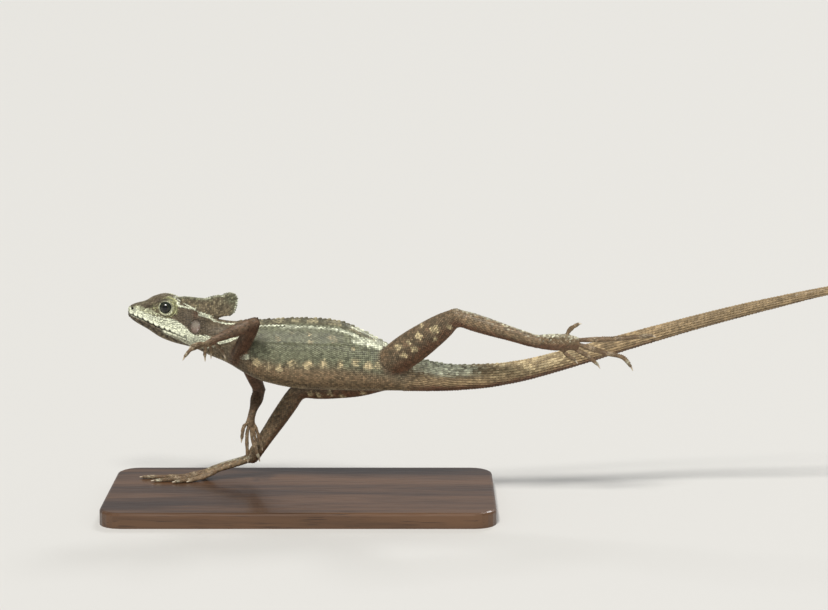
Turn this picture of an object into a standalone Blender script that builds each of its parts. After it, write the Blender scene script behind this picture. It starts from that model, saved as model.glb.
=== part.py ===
# A life-size brown basilisk running on its hind legs, on a flat display base.
# The animal faces -X, its left side is -Y, and +Z is up. Lengths below are in millimetres.
# The origin is the centre of the base's underside.
import math

import bmesh
import bpy
import numpy as np
from mathutils import Matrix, Vector

MM = 0.001
GAP = 0.3
SHARP_DEGREES = 40.0

# The display base
BASE_LENGTH = 176.0
BASE_WIDTH = 84.0
BASE_THICK = 7.0
BASE_CORNER = 10.0
BASE_EDGE = 1.2
FLOOR = BASE_THICK + GAP

# The body's outline from the snout to the tip of the tail, as (x, z)
SNOUT_X = -77.4
TAIL_END_X = 366.0
TOP_LINE = (
    (SNOUT_X, 91.0), (-76.4, 92.2), (-74.2, 93.3), (-69.5, 94.5), (-65.6, 96.6), (-61.0, 97.6),
    (-57.5, 96.9), (-51.3, 93.6), (-44.1, 89.7), (-37.0, 86.1), (-29.0, 85.1), (-18.0, 85.6),
    (0.0, 86.4), (9.0, 86.1), (18.0, 84.9), (27.0, 81.3), (36.0, 76.5), (46.0, 71.0), (56.0, 66.9),
    (72.0, 64.4), (84.0, 64.6), (99.0, 66.4), (117.0, 70.7), (158.0, 82.1), (207.0, 95.4),
    (240.0, 102.3), (285.0, 108.2), (330.0, 109.3), (TAIL_END_X, 106.4),
)
BOTTOM_LINE = (
    (SNOUT_X, 88.6), (-76.2, 86.6), (-74.0, 84.8), (-68.3, 81.4), (-62.9, 77.8), (-57.5, 75.6),
    (-47.7, 73.0), (-40.6, 69.5), (-33.4, 66.3), (-24.4, 61.0), (-15.4, 57.3), (0.0, 54.5),
    (18.0, 53.8), (46.0, 53.2), (63.0, 52.9), (81.0, 53.8), (99.0, 56.8), (117.0, 61.8),
    (158.0, 75.0), (207.0, 90.1), (240.0, 98.7), (285.0, 106.0), (330.0, 107.9), (TAIL_END_X, 105.7),
)
HALF_WIDTH = (
    (SNOUT_X, 1.3), (-76.2, 3.0), (-73.0, 4.3), (-67.0, 5.9), (-60.0, 7.4), (-54.0, 8.3),
    (-46.5, 9.5), (-40.0, 8.7), (-34.0, 7.8), (-28.0, 8.7), (-20.0, 10.5), (-8.0, 12.0), (6.0, 12.6),
    (20.0, 11.9), (36.0, 9.6), (46.0, 7.8), (56.0, 6.5), (72.0, 5.5), (99.0, 4.6), (158.0, 3.4),
    (207.0, 2.6), (240.0, 1.9), (285.0, 1.2), (330.0, 0.75), (TAIL_END_X, 0.35),
)
# Height of the widest level between the belly and the back, and the sections' fullness
WIDEST_LEVEL = ((SNOUT_X, 0.5), (-60.0, 0.45), (-46.0, 0.42), (-30.0, 0.5), (5.0, 0.42), (46.0, 0.5))
UPPER_FULLNESS = (
    (SNOUT_X, 2.2), (-68.0, 2.9), (-59.0, 3.4), (-46.0, 2.2), (-30.0, 2.0), (5.0, 1.75), (46.0, 1.9),
)
LOWER_FULLNESS = ((SNOUT_X, 2.2), (-60.0, 2.1), (-30.0, 2.0), (5.0, 2.3), (46.0, 2.1))
# The tail swings a little to each side as the animal runs
TAIL_SWING = ((40.0, 0.0), (90.0, 2.5), (160.0, 1.0), (230.0, -5.0), (300.0, -4.0), (TAIL_END_X, 6.0))

# Where the body is divided into nodes, along X
HEAD_END = -41.0
NECK_END = -26.0
TORSO_END = 44.0
TAIL_CUTS = (92.0, 165.0, 260.0)

# The head
EYE_AT = (-59.5, 5.2, 92.3)
EYE_RADIUS = 3.4
LID_AT_Y = 7.35
LID_LEAN = 10.0
LID_RADIUS = 3.4
LID_SQUASH = 0.92
LID_THICK = 0.75
EAR_AT = (-46.4, 10.0, 84.3)
EAR_SIZE = (2.2, 1.7, 2.9)
NOSTRIL_AT = (-75.3, 3.35, 91.0)
NOSTRIL_RADIUS = 0.62
MOUTH_LINE = ((-80.0, 90.2), (-76.0, 88.8), (-70.2, 86.5), (-62.6, 83.1), (-57.3, 81.3), (-51.0, 78.9))
JAW_BACK = -49.6
JAW_CORNER_DROP = 2.5
JAW_BLOCK_FLOOR = 66.0
JAW_BLOCK_REACH = 20.0
NOSE_LENGTH = 3.0
NOSE_FIRST_TURN = 0.35

# Relief of the head's sides. A swelling is (x, z, reach along, reach up, height)
SWELLINGS = (
    (EYE_AT[0], EYE_AT[2], 4.4, 3.6, 0.9), (-67.5, 89.5, 3.0, 2.0, -0.6), (-48.0, 80.0, 5.0, 4.5, 1.1),
)
BROW_START = -73.0
BROW_END = -51.0
BROW_FADE = 5.0
BROW_BELOW_TOP = 1.9
BROW_REACH = 1.2
LIP_FADE = 4.0
LIP_FROM_MOUTH = 1.1
LIP_REACH = 0.9
UPPER_LIP_RISE = 0.5
LOWER_LIP_RISE = 0.4

# The crest on the back of the head: its rim and its root line, as (x, z)
CREST_RIM = (
    (-56.5, 96.2), (-51.2, 96.5), (-45.8, 95.9), (-42.3, 95.6), (-39.3, 96.6), (-36.2, 97.2),
    (-34.8, 96.8), (-33.4, 97.9), (-31.2, 98.4), (-29.0, 97.6), (-28.2, 95.6), (-28.7, 92.2),
    (-30.0, 88.9),
)
CREST_ROOT = ((-56.0, 93.0), (-46.0, 87.5), (-38.5, 84.5), (-36.0, 87.0), (-31.5, 87.8))
CREST_THICK_RIM = 1.0
# Thickness from the root line to the rim: (share of the height, thickness)
CREST_SECTION = ((0.0, 5.0), (0.3, 3.4), (0.6, 2.0), (0.93, CREST_THICK_RIM), (1.0, 0.5))
# Behind this the crest is free of the nape, and it thins over the length in front of it
CREST_FREE_X = -34.5
CREST_FADE = 9.0

# The low scales along the back's ridge
RIDGE_SPACING = 2.1
RIDGE_HEIGHTS = ((-30.0, 0.42), (-10.0, 0.6), (40.0, 0.48), (90.0, 0.24))
RIDGE_END_X = 90.0
RIDGE_UNEVEN = 0.2
RIDGE_HALF_LENGTH = 1.0
RIDGE_HALF_THICK = 0.45
RIDGE_SWEEP = 0.35
# Each ring of a scale, from its sunk foot up: (share of its size, rise). The tip's rise is the height
RIDGE_RINGS = ((1.0, -0.9), (0.85, 0.15))
RIDGE_TIP_SHARE = 0.25

# Joints of the limbs, from the root inside the body to the wrist or the ankle
LEFT_ARM = ((-29.0, -4.2, 68.6), (-19.2, -20.0, 88.0), (-37.2, -17.0, 79.9))
RIGHT_ARM = ((-26.0, 5.0, 68.0), (-19.6, 15.5, 50.2), (-22.8, 8.5, 40.6))
LEFT_LEG = ((40.2, -4.5, 66.6), (69.6, -20.0, 90.8), (105.2, -17.0, 79.0))
RIGHT_LEG = ((38.0, 3.0, 59.6), (-1.5, 15.0, 50.6), (-24.0, 20.0, 16.9))
# Half-thickness along each length: (share of the length, in the limb's plane, across it)
UPPER_ARM_SHAPE = ((0.0, 3.6, 3.2), (0.5, 3.5, 3.0), (1.0, 3.2, 2.8))
FOREARM_SHAPE = ((0.0, 3.2, 2.8), (0.35, 3.2, 2.8), (0.75, 2.1, 1.9), (1.0, 1.8, 1.6))
THIGH_SHAPE = ((0.0, 7.4, 6.0), (0.3, 7.8, 6.0), (0.65, 6.8, 5.2), (1.0, 4.4, 3.8))
SHIN_SHAPE = ((0.0, 4.2, 3.6), (0.35, 4.0, 3.5), (0.75, 3.3, 2.8), (1.0, 3.1, 2.6))
# A length's rounded ends are sections at these angles from its side to its pole, in degrees
ROUNDED_END_TURNS = (78.0, 52.0, 26.0)

# Hands and feet. Digits root on the palm, each this far short of its end, bend at the points given
# and end at the last, where the claw begins
HAND_HALF_WIDTH = 2.3
HAND_HALF_THICK = 1.5
FOOT_HALF_WIDTH = 4.1
FOOT_HALF_THICK = 1.8
HAND_KNUCKLES = (1.6, 0.8, 0.4, 0.4, 1.2)
FOOT_KNUCKLES = (7.0, 3.4, 1.4, 0.8, 5.4)
FINGER_RADII = (1.0, 0.68)
TOE_RADII = (1.3, 0.72)
# The palm's width and thickness along it, as shares of the half-width and half-thickness
PALM_SHARES = ((0.0, 0.78, 1.0), (0.65, 1.0, 1.0), (1.0, 0.75, 0.8))
KNUCKLE_SPREAD = 0.3
# A digit swells this much at its joints, this many times, and is thinner where it leaves the palm
JOINT_SWELL = 0.07
JOINT_SWELLS = 3.5
DIGIT_ROOT_SHARE = 0.6
CLAW_LENGTH = 2.1
CLAW_RADIUS = 0.5
CLAW_SUNK = 0.5
CLAW_TIP_SHARE = 0.25
LEFT_HAND = {
    "palm": (-40.4, -16.5, 77.9), "across": (0.45, 0.75, -0.6), "droop": 0.8,
    "digits": (
        ((-35.6, -14.2, 76.2), (-33.6, -13.0, 72.6)), ((-39.2, -14.6, 75.4), (-39.2, -14.0, 73.0)),
        ((-41.7, -15.9, 74.8), (-41.7, -15.5, 72.0)), ((-47.6, -17.3, 75.4), (-50.4, -17.0, 72.4)),
        ((-44.0, -19.0, 78.4), (-46.9, -20.2, 77.6)),
    ),
}
RIGHT_HAND = {
    "palm": (-23.9, 8.2, 35.6), "across": (0.8, 0.6, 0.1), "droop": 0.3,
    "digits": (
        ((-26.6, 5.8, 34.4), (-27.4, 5.2, 29.6)), ((-25.2, 6.8, 28.0), (-24.9, 6.6, 19.8)),
        ((-22.6, 8.0, 28.0), (-20.0, 8.4, 19.8)), ((-21.7, 8.8, 30.0), (-21.0, 8.6, 25.0)),
        ((-20.6, 10.2, 31.0), (-18.8, 10.8, 24.4)),
    ),
}
LEFT_FOOT = {
    "palm": (123.4, -16.2, 78.2), "across": (0.05, -0.2, 1.0), "droop": 0.9,
    "digits": (
        ((119.4, -15.2, 72.6), (122.8, -14.8, 70.3)), ((128.8, -15.0, 71.9), (133.0, -14.6, 68.2)),
        ((136.8, -14.5, 73.2), (144.2, -14.2, 71.2), (147.9, -14.0, 67.2)),
        ((138.0, -14.2, 79.5), (157.4, -12.6, 80.8)), ((120.8, -17.7, 84.9), (124.0, -18.6, 87.2)),
    ),
}
RIGHT_FOOT = {
    "palm": (-44.0, 18.2, 11.2), "across": (-0.15, 1.0, 0.0), "droop": 0.0,
    "digits": (
        ((-48.0, 14.2, 8.4), (-52.2, 12.0, 7.8)), ((-51.0, 13.6, 8.3), (-58.6, 10.8, 7.8)),
        ((-54.0, 15.6, 8.4), (-68.6, 13.0, 7.8)), ((-56.0, 18.8, 8.4), (-74.6, 19.8, 7.8)),
        ((-46.6, 22.6, 8.5), (-48.4, 26.4, 7.8)),
    ),
}


def ease(x, points):
    """Value at x of the smooth curve through the points, which never overshoots between them."""
    px = np.array([p[0] for p in points], float)
    py = np.array([p[1] for p in points], float)
    step = np.diff(px)
    slope = np.diff(py) / step
    tangent = np.zeros(len(px))
    tangent[0], tangent[-1] = slope[0], slope[-1]
    same_way = slope[:-1] * slope[1:] > 0
    before, after = slope[:-1][same_way], slope[1:][same_way]
    tangent[1:-1][same_way] = 2 * before * after / (before + after)
    x = np.clip(np.asarray(x, float), px[0], px[-1])
    i = np.clip(np.searchsorted(px, x, side="right") - 1, 0, len(step) - 1)
    t = (x - px[i]) / step[i]
    return (
        py[i] * (1 + 2 * t) * (1 - t) ** 2 + tangent[i] * step[i] * t * (1 - t) ** 2
        + py[i + 1] * t * t * (3 - 2 * t) - tangent[i + 1] * step[i] * t * t * (1 - t)
    )


def bump(x, z, at_x, at_z, reach_x, reach_z):
    """A round swelling, 1 at its middle and fading to 0 over its reach."""
    return np.exp(-(((x - at_x) / reach_x) ** 2) - ((z - at_z) / reach_z) ** 2)


def between(x, start, end, fade):
    """1 between start and end, falling to 0 at each over the fade."""
    return np.clip((x - start) / fade, 0, 1) * np.clip((end - x) / fade, 0, 1)


def head_relief(x, z):
    """How far the side of the head swells beyond its plain section: brow, eye, cheek and lips."""
    above_brow = (z - ease(x, TOP_LINE) + BROW_BELOW_TOP) / BROW_REACH
    relief = between(x, BROW_START, BROW_END, BROW_FADE) * np.exp(-(above_brow ** 2))
    for at_x, at_z, reach_x, reach_z, height in SWELLINGS:
        relief = relief + height * bump(x, z, at_x, at_z, reach_x, reach_z)
    from_mouth = z - ease(x, MOUTH_LINE)
    upper = np.exp(-(((from_mouth - LIP_FROM_MOUTH) / LIP_REACH) ** 2))
    lower = np.exp(-(((from_mouth + LIP_FROM_MOUTH) / LIP_REACH) ** 2))
    lips = between(x, SNOUT_X, JAW_BACK, LIP_FADE)
    return relief + lips * (UPPER_LIP_RISE * upper + LOWER_LIP_RISE * lower)


def body_rings(stations, around, grow=0.0):
    """Upright sections of the body at these x. Each runs from the back down the left side.
    A section is two half superellipses that share the widest level, swollen by the head's relief."""
    x = np.asarray(stations, float)[:, None]
    top, bottom = ease(x, TOP_LINE) + grow, ease(x, BOTTOM_LINE) - grow
    level = bottom + (top - bottom) * ease(x, WIDEST_LEVEL)
    angle = np.linspace(0, 2 * math.pi, around, endpoint=False)[None, :]
    upper = np.cos(angle) > 0
    power = 2 / np.where(upper, ease(x, UPPER_FULLNESS), ease(x, LOWER_FULLNESS))
    height = np.where(upper, top - level, level - bottom)
    side = np.sin(angle)
    z = level + height * np.sign(np.cos(angle)) * np.abs(np.cos(angle)) ** power
    relief = np.where(x < HEAD_END, head_relief(x + 0 * z, z), 0.0)
    half = (ease(x, HALF_WIDTH) + grow) * np.abs(side) ** power
    half = half + relief * np.minimum(1, 2 * np.abs(side))
    y = ease(x, TAIL_SWING) - np.sign(side) * half
    return np.stack([x + 0 * y, y, z], axis=2)


def unit(vector):
    vector = np.array(vector, float)
    return vector / np.linalg.norm(vector)


def limb_rings(start, end, shape, count, around, plane):
    """Sections of a straight length with rounded ends, whose half-thickness follows shape.
    Its first value lies in the limb's plane, whose normal is given, and its second across it."""
    start, end = np.array(start, float), np.array(end, float)
    along = unit(end - start)
    in_plane = unit(np.cross(plane, along))
    across = np.cross(along, in_plane)
    share = np.linspace(0, 1, count)
    first = ease(share, [(s, a) for s, a, b in shape])
    second = ease(share, [(s, b) for s, a, b in shape])
    centres = start + share[:, None] * (end - start)
    turn = np.radians(ROUNDED_END_TURNS)
    head, tail = min(first[0], second[0]), min(first[-1], second[-1])
    before = start - head * np.sin(turn)[:, None] * along
    after = end + tail * np.sin(turn[::-1])[:, None] * along
    centres = np.concatenate([before, centres, after])
    first = np.concatenate([first[0] * np.cos(turn), first, first[-1] * np.cos(turn[::-1])])
    second = np.concatenate([second[0] * np.cos(turn), second, second[-1] * np.cos(turn[::-1])])
    angle = np.linspace(0, 2 * math.pi, around, endpoint=False)
    return (
        centres[:, None, :] + first[:, None, None] * np.cos(angle)[None, :, None] * in_plane
        + second[:, None, None] * np.sin(angle)[None, :, None] * across
    )


def skin_over(name, rings):
    """A closed mesh object over the rings, with a flat cap at each end."""
    count, around = rings.shape[:2]
    mesh = bmesh.new()
    loops = [[mesh.verts.new(Vector(p) * MM) for p in ring] for ring in rings]
    for a, b in zip(loops[:-1], loops[1:]):
        for i in range(around):
            j = (i + 1) % around
            mesh.faces.new((a[i], a[j], b[j], b[i]))
    mesh.faces.new(loops[0][::-1])
    mesh.faces.new(loops[-1])
    bmesh.ops.recalc_face_normals(mesh, faces=mesh.faces)
    return finish_mesh(name, mesh)


def finish_mesh(name, mesh):
    data = bpy.data.meshes.new(name)
    mesh.to_mesh(data)
    mesh.free()
    return bpy.data.objects.new(name, data)


def place(obj, collection):
    collection.objects.link(obj)
    return obj


def freeze(obj):
    """Replaces the object's mesh with what its modifiers make of it."""
    bpy.context.view_layer.update()
    graph = bpy.context.evaluated_depsgraph_get()
    data = bpy.data.meshes.new_from_object(obj.evaluated_get(graph))
    obj.modifiers.clear()
    obj.data = data
    return obj


def keep_largest(obj):
    """Drops every closed surface of the mesh but the one with the largest volume."""
    mesh = bmesh.new()
    mesh.from_mesh(obj.data)
    left, pieces = set(mesh.faces), []
    while left:
        queue = [left.pop()]
        piece = list(queue)
        while queue:
            for edge in queue.pop().edges:
                for face in edge.link_faces:
                    if face in left:
                        left.remove(face)
                        queue.append(face)
                        piece.append(face)
        volume = sum(f.calc_area() * f.normal.dot(f.calc_center_median()) for f in piece)
        pieces.append((volume, piece))
    pieces.sort(key=lambda item: item[0])
    small = [face for volume, piece in pieces[:-1] for face in piece]
    bmesh.ops.delete(mesh, geom=small, context="FACES")
    loose = [v for v in mesh.verts if not v.link_faces]
    bmesh.ops.delete(mesh, geom=loose, context="VERTS")
    mesh.to_mesh(obj.data)
    mesh.free()
    return obj


def join(body, pieces, solver="EXACT"):
    """Fuses the pieces with the body in one union, and removes them."""
    group = bpy.data.collections.new("pieces of " + body.name)
    bpy.context.scene.collection.children.link(group)
    for piece in pieces:
        place(piece, group)
    union = body.modifiers.new("join", "BOOLEAN")
    union.operation = "UNION"
    union.operand_type = "COLLECTION"
    union.collection = group
    union.solver = solver
    freeze(body)
    for piece in pieces:
        bpy.data.objects.remove(piece)
    bpy.data.collections.remove(group)
    return keep_largest(body)


def cut(body, cutters, operation="DIFFERENCE"):
    """Cuts the body with each cutter in turn, and removes the cutters."""
    for cutter in cutters:
        place(cutter, CUTTERS)
        modifier = body.modifiers.new("cut", "BOOLEAN")
        modifier.operation = operation
        modifier.object = cutter
        modifier.solver = "EXACT"
        freeze(body)
        bpy.data.objects.remove(cutter)
    return keep_largest(body)


def ellipsoid(name, centre, size, segments=20, rings=12):
    mesh = bmesh.new()
    bmesh.ops.create_uvsphere(mesh, u_segments=segments, v_segments=rings, radius=1.0)
    turn = Matrix.Rotation(math.pi / 2, 4, "X")
    stretch = Matrix.Diagonal((size[0] * MM, size[1] * MM, size[2] * MM, 1))
    mesh.transform(Matrix.Translation(Vector(centre) * MM) @ stretch @ turn)
    bmesh.ops.recalc_face_normals(mesh, faces=mesh.faces)
    return finish_mesh(name, mesh)


def box(name, low, high):
    mesh = bmesh.new()
    bmesh.ops.create_cube(mesh, size=1.0)
    low, high = Vector(low) * MM, Vector(high) * MM
    mesh.transform(Matrix.Translation((low + high) / 2) @ Matrix.Diagonal((*(high - low), 1)))
    return finish_mesh(name, mesh)


def prism(name, outline, half_depth):
    """A flat outline in the XZ plane, pushed out to both sides."""
    mesh = bmesh.new()
    flat = mesh.faces.new([mesh.verts.new(Vector((x, -half_depth, z)) * MM) for x, z in outline])
    pushed = bmesh.ops.extrude_face_region(mesh, geom=[flat])["geom"]
    moved = [v for v in pushed if isinstance(v, bmesh.types.BMVert)]
    bmesh.ops.translate(mesh, verts=moved, vec=Vector((0, 2 * half_depth, 0)) * MM)
    bmesh.ops.recalc_face_normals(mesh, faces=mesh.faces)
    return finish_mesh(name, mesh)


def eyelid(name, side):
    """A ring that faces sideways and a little up, lower than it is long. Side is -1 for the left."""
    bpy.ops.mesh.primitive_torus_add(
        major_segments=20, minor_segments=7, major_radius=LID_RADIUS * MM, minor_radius=LID_THICK * MM
    )
    ring = bpy.context.object
    data = ring.data
    bpy.data.objects.remove(ring)
    lean = Matrix.Rotation(math.radians(90 + side * LID_LEAN), 4, "X")
    middle = Matrix.Translation(Vector((EYE_AT[0], side * LID_AT_Y, EYE_AT[2])) * MM)
    data.transform(middle @ lean @ Matrix.Diagonal((1, LID_SQUASH, 1, 1)))
    return bpy.data.objects.new(name, data)


def grown_trunk():
    """The body a gap larger all round, which cuts the roots of limbs and crest to meet it."""
    stations = np.concatenate([np.linspace(SNOUT_X, HEAD_END, 26), np.linspace(HEAD_END + 2, 120, 56)])
    return skin_over("grown trunk", body_rings(stations, 36, GAP))


def ridge_scales(start, end):
    """Low pointed scales along the ridge of the back, a little uneven in height."""
    pieces = []
    places = np.arange(start + RIDGE_SPACING / 2, end - RIDGE_SPACING / 2, RIDGE_SPACING)
    for i, x in enumerate(places):
        tall = (1 + RIDGE_UNEVEN * math.sin(2.4 * i)) * float(ease(x, RIDGE_HEIGHTS))
        rings = []
        for share, rise in (*RIDGE_RINGS, (RIDGE_TIP_SHARE, tall)):
            half, thick = RIDGE_HALF_LENGTH * share, RIDGE_HALF_THICK * share
            middle = x + RIDGE_SWEEP * max(0.0, rise)
            z = float(ease(middle, TOP_LINE)) + rise
            y = float(ease(middle, TAIL_SWING))
            rings.append([
                (middle - half, y, z), (middle, y - thick, z), (middle + half, y, z), (middle, y + thick, z),
            ])
        pieces.append(skin_over("ridge scale", np.array(rings)))
    return pieces


def on_side(point, side):
    """A point of the right side, or with side -1 its mirror on the left."""
    return point[0], side * point[1], point[2]


def build_head():
    """The head with its lids, eye sockets, ears and nostrils, and the lower jaw cut free below it."""
    nose = SNOUT_X + NOSE_LENGTH * (1 - np.cos(np.linspace(NOSE_FIRST_TURN, math.pi / 2, 6)))
    stations = np.concatenate([[SNOUT_X], nose[1:], np.linspace(nose[-1] + 1.2, HEAD_END, 24)])
    head = place(skin_over("head", body_rings(stations, 30)), MODEL)
    join(head, [eyelid("lid", s) for s in (-1, 1)])
    cutters = []
    for s in (-1, 1):
        cutters.append(ellipsoid("socket", on_side(EYE_AT, s), (EYE_RADIUS + GAP,) * 3, 16, 10))
        cutters.append(ellipsoid("ear", on_side(EAR_AT, s), EAR_SIZE, 14, 8))
        cutters.append(ellipsoid("nostril", on_side(NOSTRIL_AT, s), (NOSTRIL_RADIUS,) * 3, 8, 6))
    cut(head, cutters)
    jaw = place(bpy.data.objects.new("lower_jaw", head.data.copy()), MODEL)
    mouth_x = np.linspace(MOUTH_LINE[0][0], MOUTH_LINE[-1][0], 12)
    line = [(x, float(ease(x, MOUTH_LINE))) for x in mouth_x]

    def below_mouth(name, lift):
        back = JAW_BACK + lift
        outline = [(x, z + lift) for x, z in line]
        outline += [(back, line[-1][1] - JAW_CORNER_DROP), (back, JAW_BLOCK_FLOOR)]
        outline.append((line[0][0], JAW_BLOCK_FLOOR))
        return prism(name, outline, JAW_BLOCK_REACH)

    cut(jaw, [below_mouth("jaw block", 0.0)], "INTERSECT")
    cut(head, [below_mouth("jaw room", GAP)])
    for side, s in (("left", -1), ("right", 1)):
        place(ellipsoid("eye_" + side, on_side(EYE_AT, s), (EYE_RADIUS,) * 3, 16, 10), MODEL)


def build_crest():
    """The crest: a blade that rises from the back of the head, thick along its root and thin at its
    rim, with a free lobe that overhangs the nape."""
    steps = 24
    rim, root = along_line(CREST_RIM, steps), along_line(CREST_ROOT, steps)
    rooted = np.clip((CREST_FREE_X - root[:, 0]) / CREST_FADE, 0, 1)
    left = []
    for share, thick in CREST_SECTION:
        line = root + (rim - root) * share
        half = np.minimum(thick, CREST_THICK_RIM) / 2
        half = half + rooted * (thick / 2 - half)
        left.append(np.stack([line[:, 0], -half, line[:, 1]], axis=1))
    right = [row * (1, -1, 1) for row in left[::-1]]
    crest = place(skin_over("crest", np.stack(left + right, axis=1)), MODEL)
    cut(crest, [grown_trunk()])


def along_line(points, count):
    """Points spaced evenly along the line through the given points."""
    points = np.array(points, float)
    run = np.concatenate([[0], np.cumsum(np.linalg.norm(np.diff(points, axis=0), axis=1))])
    at = np.linspace(0, run[-1], count)
    return np.stack([np.interp(at, run, points[:, 0]), np.interp(at, run, points[:, 1])], axis=1)


def build_trunk():
    """Neck, torso and the tail's four lengths, parted by upright cuts."""
    spans = (
        ("neck", HEAD_END, NECK_END, 7, 30), ("torso", NECK_END, TORSO_END, 24, 30),
        ("tail_base", TORSO_END, TAIL_CUTS[0], 13, 22), ("tail_middle", TAIL_CUTS[0], TAIL_CUTS[1], 13, 18),
        ("tail_end", TAIL_CUTS[1], TAIL_CUTS[2], 13, 14), ("tail_tip", TAIL_CUTS[2], TAIL_END_X, 14, 10),
    )
    for name, start, end, count, around in spans:
        stations = np.linspace(start + GAP / 2 + (name == "neck") * GAP / 2, end - GAP / 2, count)
        node = place(skin_over(name, body_rings(stations, around)), MODEL)
        if name in ("torso", "tail_base"):
            join(node, ridge_scales(start + 1, min(end, RIDGE_END_X) - 1))


def beyond(joint, way, reach=60.0):
    """A cutter that fills all past the plane through a joint, less half the gap, in the given way."""
    mesh = bmesh.new()
    bmesh.ops.create_cube(mesh, size=reach * MM)
    turn = Vector(way).to_track_quat("Z", "Y").to_matrix().to_4x4()
    middle = Vector(np.array(joint) + unit(way) * (reach / 2 - GAP / 2)) * MM
    mesh.transform(Matrix.Translation(middle) @ turn)
    return finish_mesh("beyond", mesh)


def build_limb(side, names, joints, shapes, paw, build_paw):
    """A limb's two lengths and its hand or foot. Rounded ends overlap at each joint and are parted
    there on the plane that halves the bend. The first length is cut to meet the body."""
    joints = [np.array(j, float) for j in (*joints, paw["palm"])]
    ways = [unit(b - a) for a, b in zip(joints[:-1], joints[1:])]
    plane = unit(np.cross(ways[0], ways[1]))
    bends = [unit(a + b) for a, b in zip(ways[:-1], ways[1:])]
    for i in (0, 1):
        rings = limb_rings(joints[i], joints[i + 1], shapes[i], 8, 13, plane)
        node = place(skin_over(f"{names[i]}_{side}", rings), MODEL)
        cutters = [beyond(joints[i + 1], bends[i])]
        cutters.append(grown_trunk() if i == 0 else beyond(joints[1], -bends[0]))
        cut(node, cutters)
    build_paw(f"{names[2]}_{side}", joints[2], paw, bends[1])


def curve_through(points, count):
    """Evenly spread points along a smooth curve through the given ones."""
    points = np.array(points, float)
    run = np.concatenate([[0], np.cumsum(np.linalg.norm(np.diff(points, axis=0), axis=1))])
    at = np.linspace(0, run[-1], count)
    return np.stack([ease(at, list(zip(run, points[:, i]))) for i in range(3)], axis=1)


def rings_along(centres, radius, around):
    """Round sections square to a curved centreline."""
    way = np.gradient(centres, axis=0)
    way /= np.linalg.norm(way, axis=1)[:, None]
    helper = np.eye(3)[np.argmin(np.abs(way).max(axis=0))]
    side = np.cross(way, helper)
    side /= np.linalg.norm(side, axis=1)[:, None]
    other = np.cross(way, side)
    angle = np.linspace(0, 2 * math.pi, around, endpoint=False)
    spokes = np.cos(angle)[None, :, None] * side[:, None, :]
    spokes = spokes + np.sin(angle)[None, :, None] * other[:, None, :]
    return centres[:, None, :] + radius[:, None, None] * spokes


def digit_pieces(root, points, radii, droop):
    """A finger or toe that swells a little at each joint, and its curved claw."""
    centres = curve_through([root, *points], 8)
    share = np.linspace(0, 1, len(centres))
    radius = radii[0] + (radii[1] - radii[0]) * share
    radius = radius * (1 + JOINT_SWELL * np.cos(2 * math.pi * JOINT_SWELLS * share))
    radius[0] *= DIGIT_ROOT_SHARE
    way = unit(centres[-1] - centres[-2])
    along = np.linspace(0, 1, 4)
    curl = droop * (along ** 2)[:, None] * np.array((0.0, 0.0, -1.0))
    claw = centres[-1] - CLAW_SUNK * way + CLAW_LENGTH * along[:, None] * way + curl
    claw_radius = CLAW_RADIUS * (1 - (1 - CLAW_TIP_SHARE) * along)
    return [
        skin_over("digit", rings_along(centres, radius, 7)),
        skin_over("claw", rings_along(claw, claw_radius, 6)),
    ]


def build_paw(name, wrist, paw, bend, half_width, half_thick, radii, knuckles):
    """A hand or foot: a flattened palm and five clawed digits, fused into one body."""
    palm = np.array(paw["palm"], float)
    across = unit(paw["across"])
    way = unit(palm - wrist)
    shape = [(share, half_width * w, half_thick * t) for share, w, t in PALM_SHARES]
    body = place(skin_over(name, limb_rings(wrist, palm, shape, 4, 11, np.cross(way, across))), MODEL)
    cut(body, [beyond(wrist, -bend)])
    pieces = []
    for i, points in enumerate(paw["digits"]):
        root = palm + across * (i - 2) * half_width * KNUCKLE_SPREAD - way * knuckles[i]
        pieces += digit_pieces(root, points, radii, paw["droop"])
    join(body, pieces, "MANIFOLD")
    if min(point[2] for digit in paw["digits"] for point in digit) < FLOOR + radii[1]:
        cut(body, [box("floor", (-100, -60, -10), (100, 60, FLOOR))])


def build_hand(name, wrist, paw, bend):
    build_paw(name, wrist, paw, bend, HAND_HALF_WIDTH, HAND_HALF_THICK, FINGER_RADII, HAND_KNUCKLES)


def build_foot(name, wrist, paw, bend):
    build_paw(name, wrist, paw, bend, FOOT_HALF_WIDTH, FOOT_HALF_THICK, TOE_RADII, FOOT_KNUCKLES)


def build_stand():
    """The flat base, rounded at its corners and eased along its top edge."""
    half_length, half_width = BASE_LENGTH / 2, BASE_WIDTH / 2
    low, high = (-half_length, -half_width, 0), (half_length, half_width, BASE_THICK)
    base = place(box("stand_base", low, high), MODEL)
    mesh = bmesh.new()
    mesh.from_mesh(base.data)
    upright = [e for e in mesh.edges if abs(e.verts[0].co.z - e.verts[1].co.z) > MM]
    bmesh.ops.bevel(mesh, geom=upright, offset=BASE_CORNER * MM, segments=5, profile=0.5, affect="EDGES")
    rim = [e for e in mesh.edges if min(v.co.z for v in e.verts) > (BASE_THICK - 0.01) * MM]
    bmesh.ops.bevel(mesh, geom=rim, offset=BASE_EDGE * MM, segments=2, profile=0.5, affect="EDGES")
    mesh.to_mesh(base.data)
    mesh.free()


def paint(obj, colour, roughness):
    """Gives the node its own plain material."""
    material = bpy.data.materials.new(obj.name)
    material.use_nodes = True
    shader = material.node_tree.nodes["Principled BSDF"]
    shader.inputs["Base Color"].default_value = (*colour, 1.0)
    shader.inputs["Roughness"].default_value = roughness
    shader.inputs["Metallic"].default_value = 0.0
    obj.data.materials.clear()
    obj.data.materials.append(material)
    obj.data.shade_smooth()
    obj.data.set_sharp_from_angle(angle=math.radians(SHARP_DEGREES))


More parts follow.
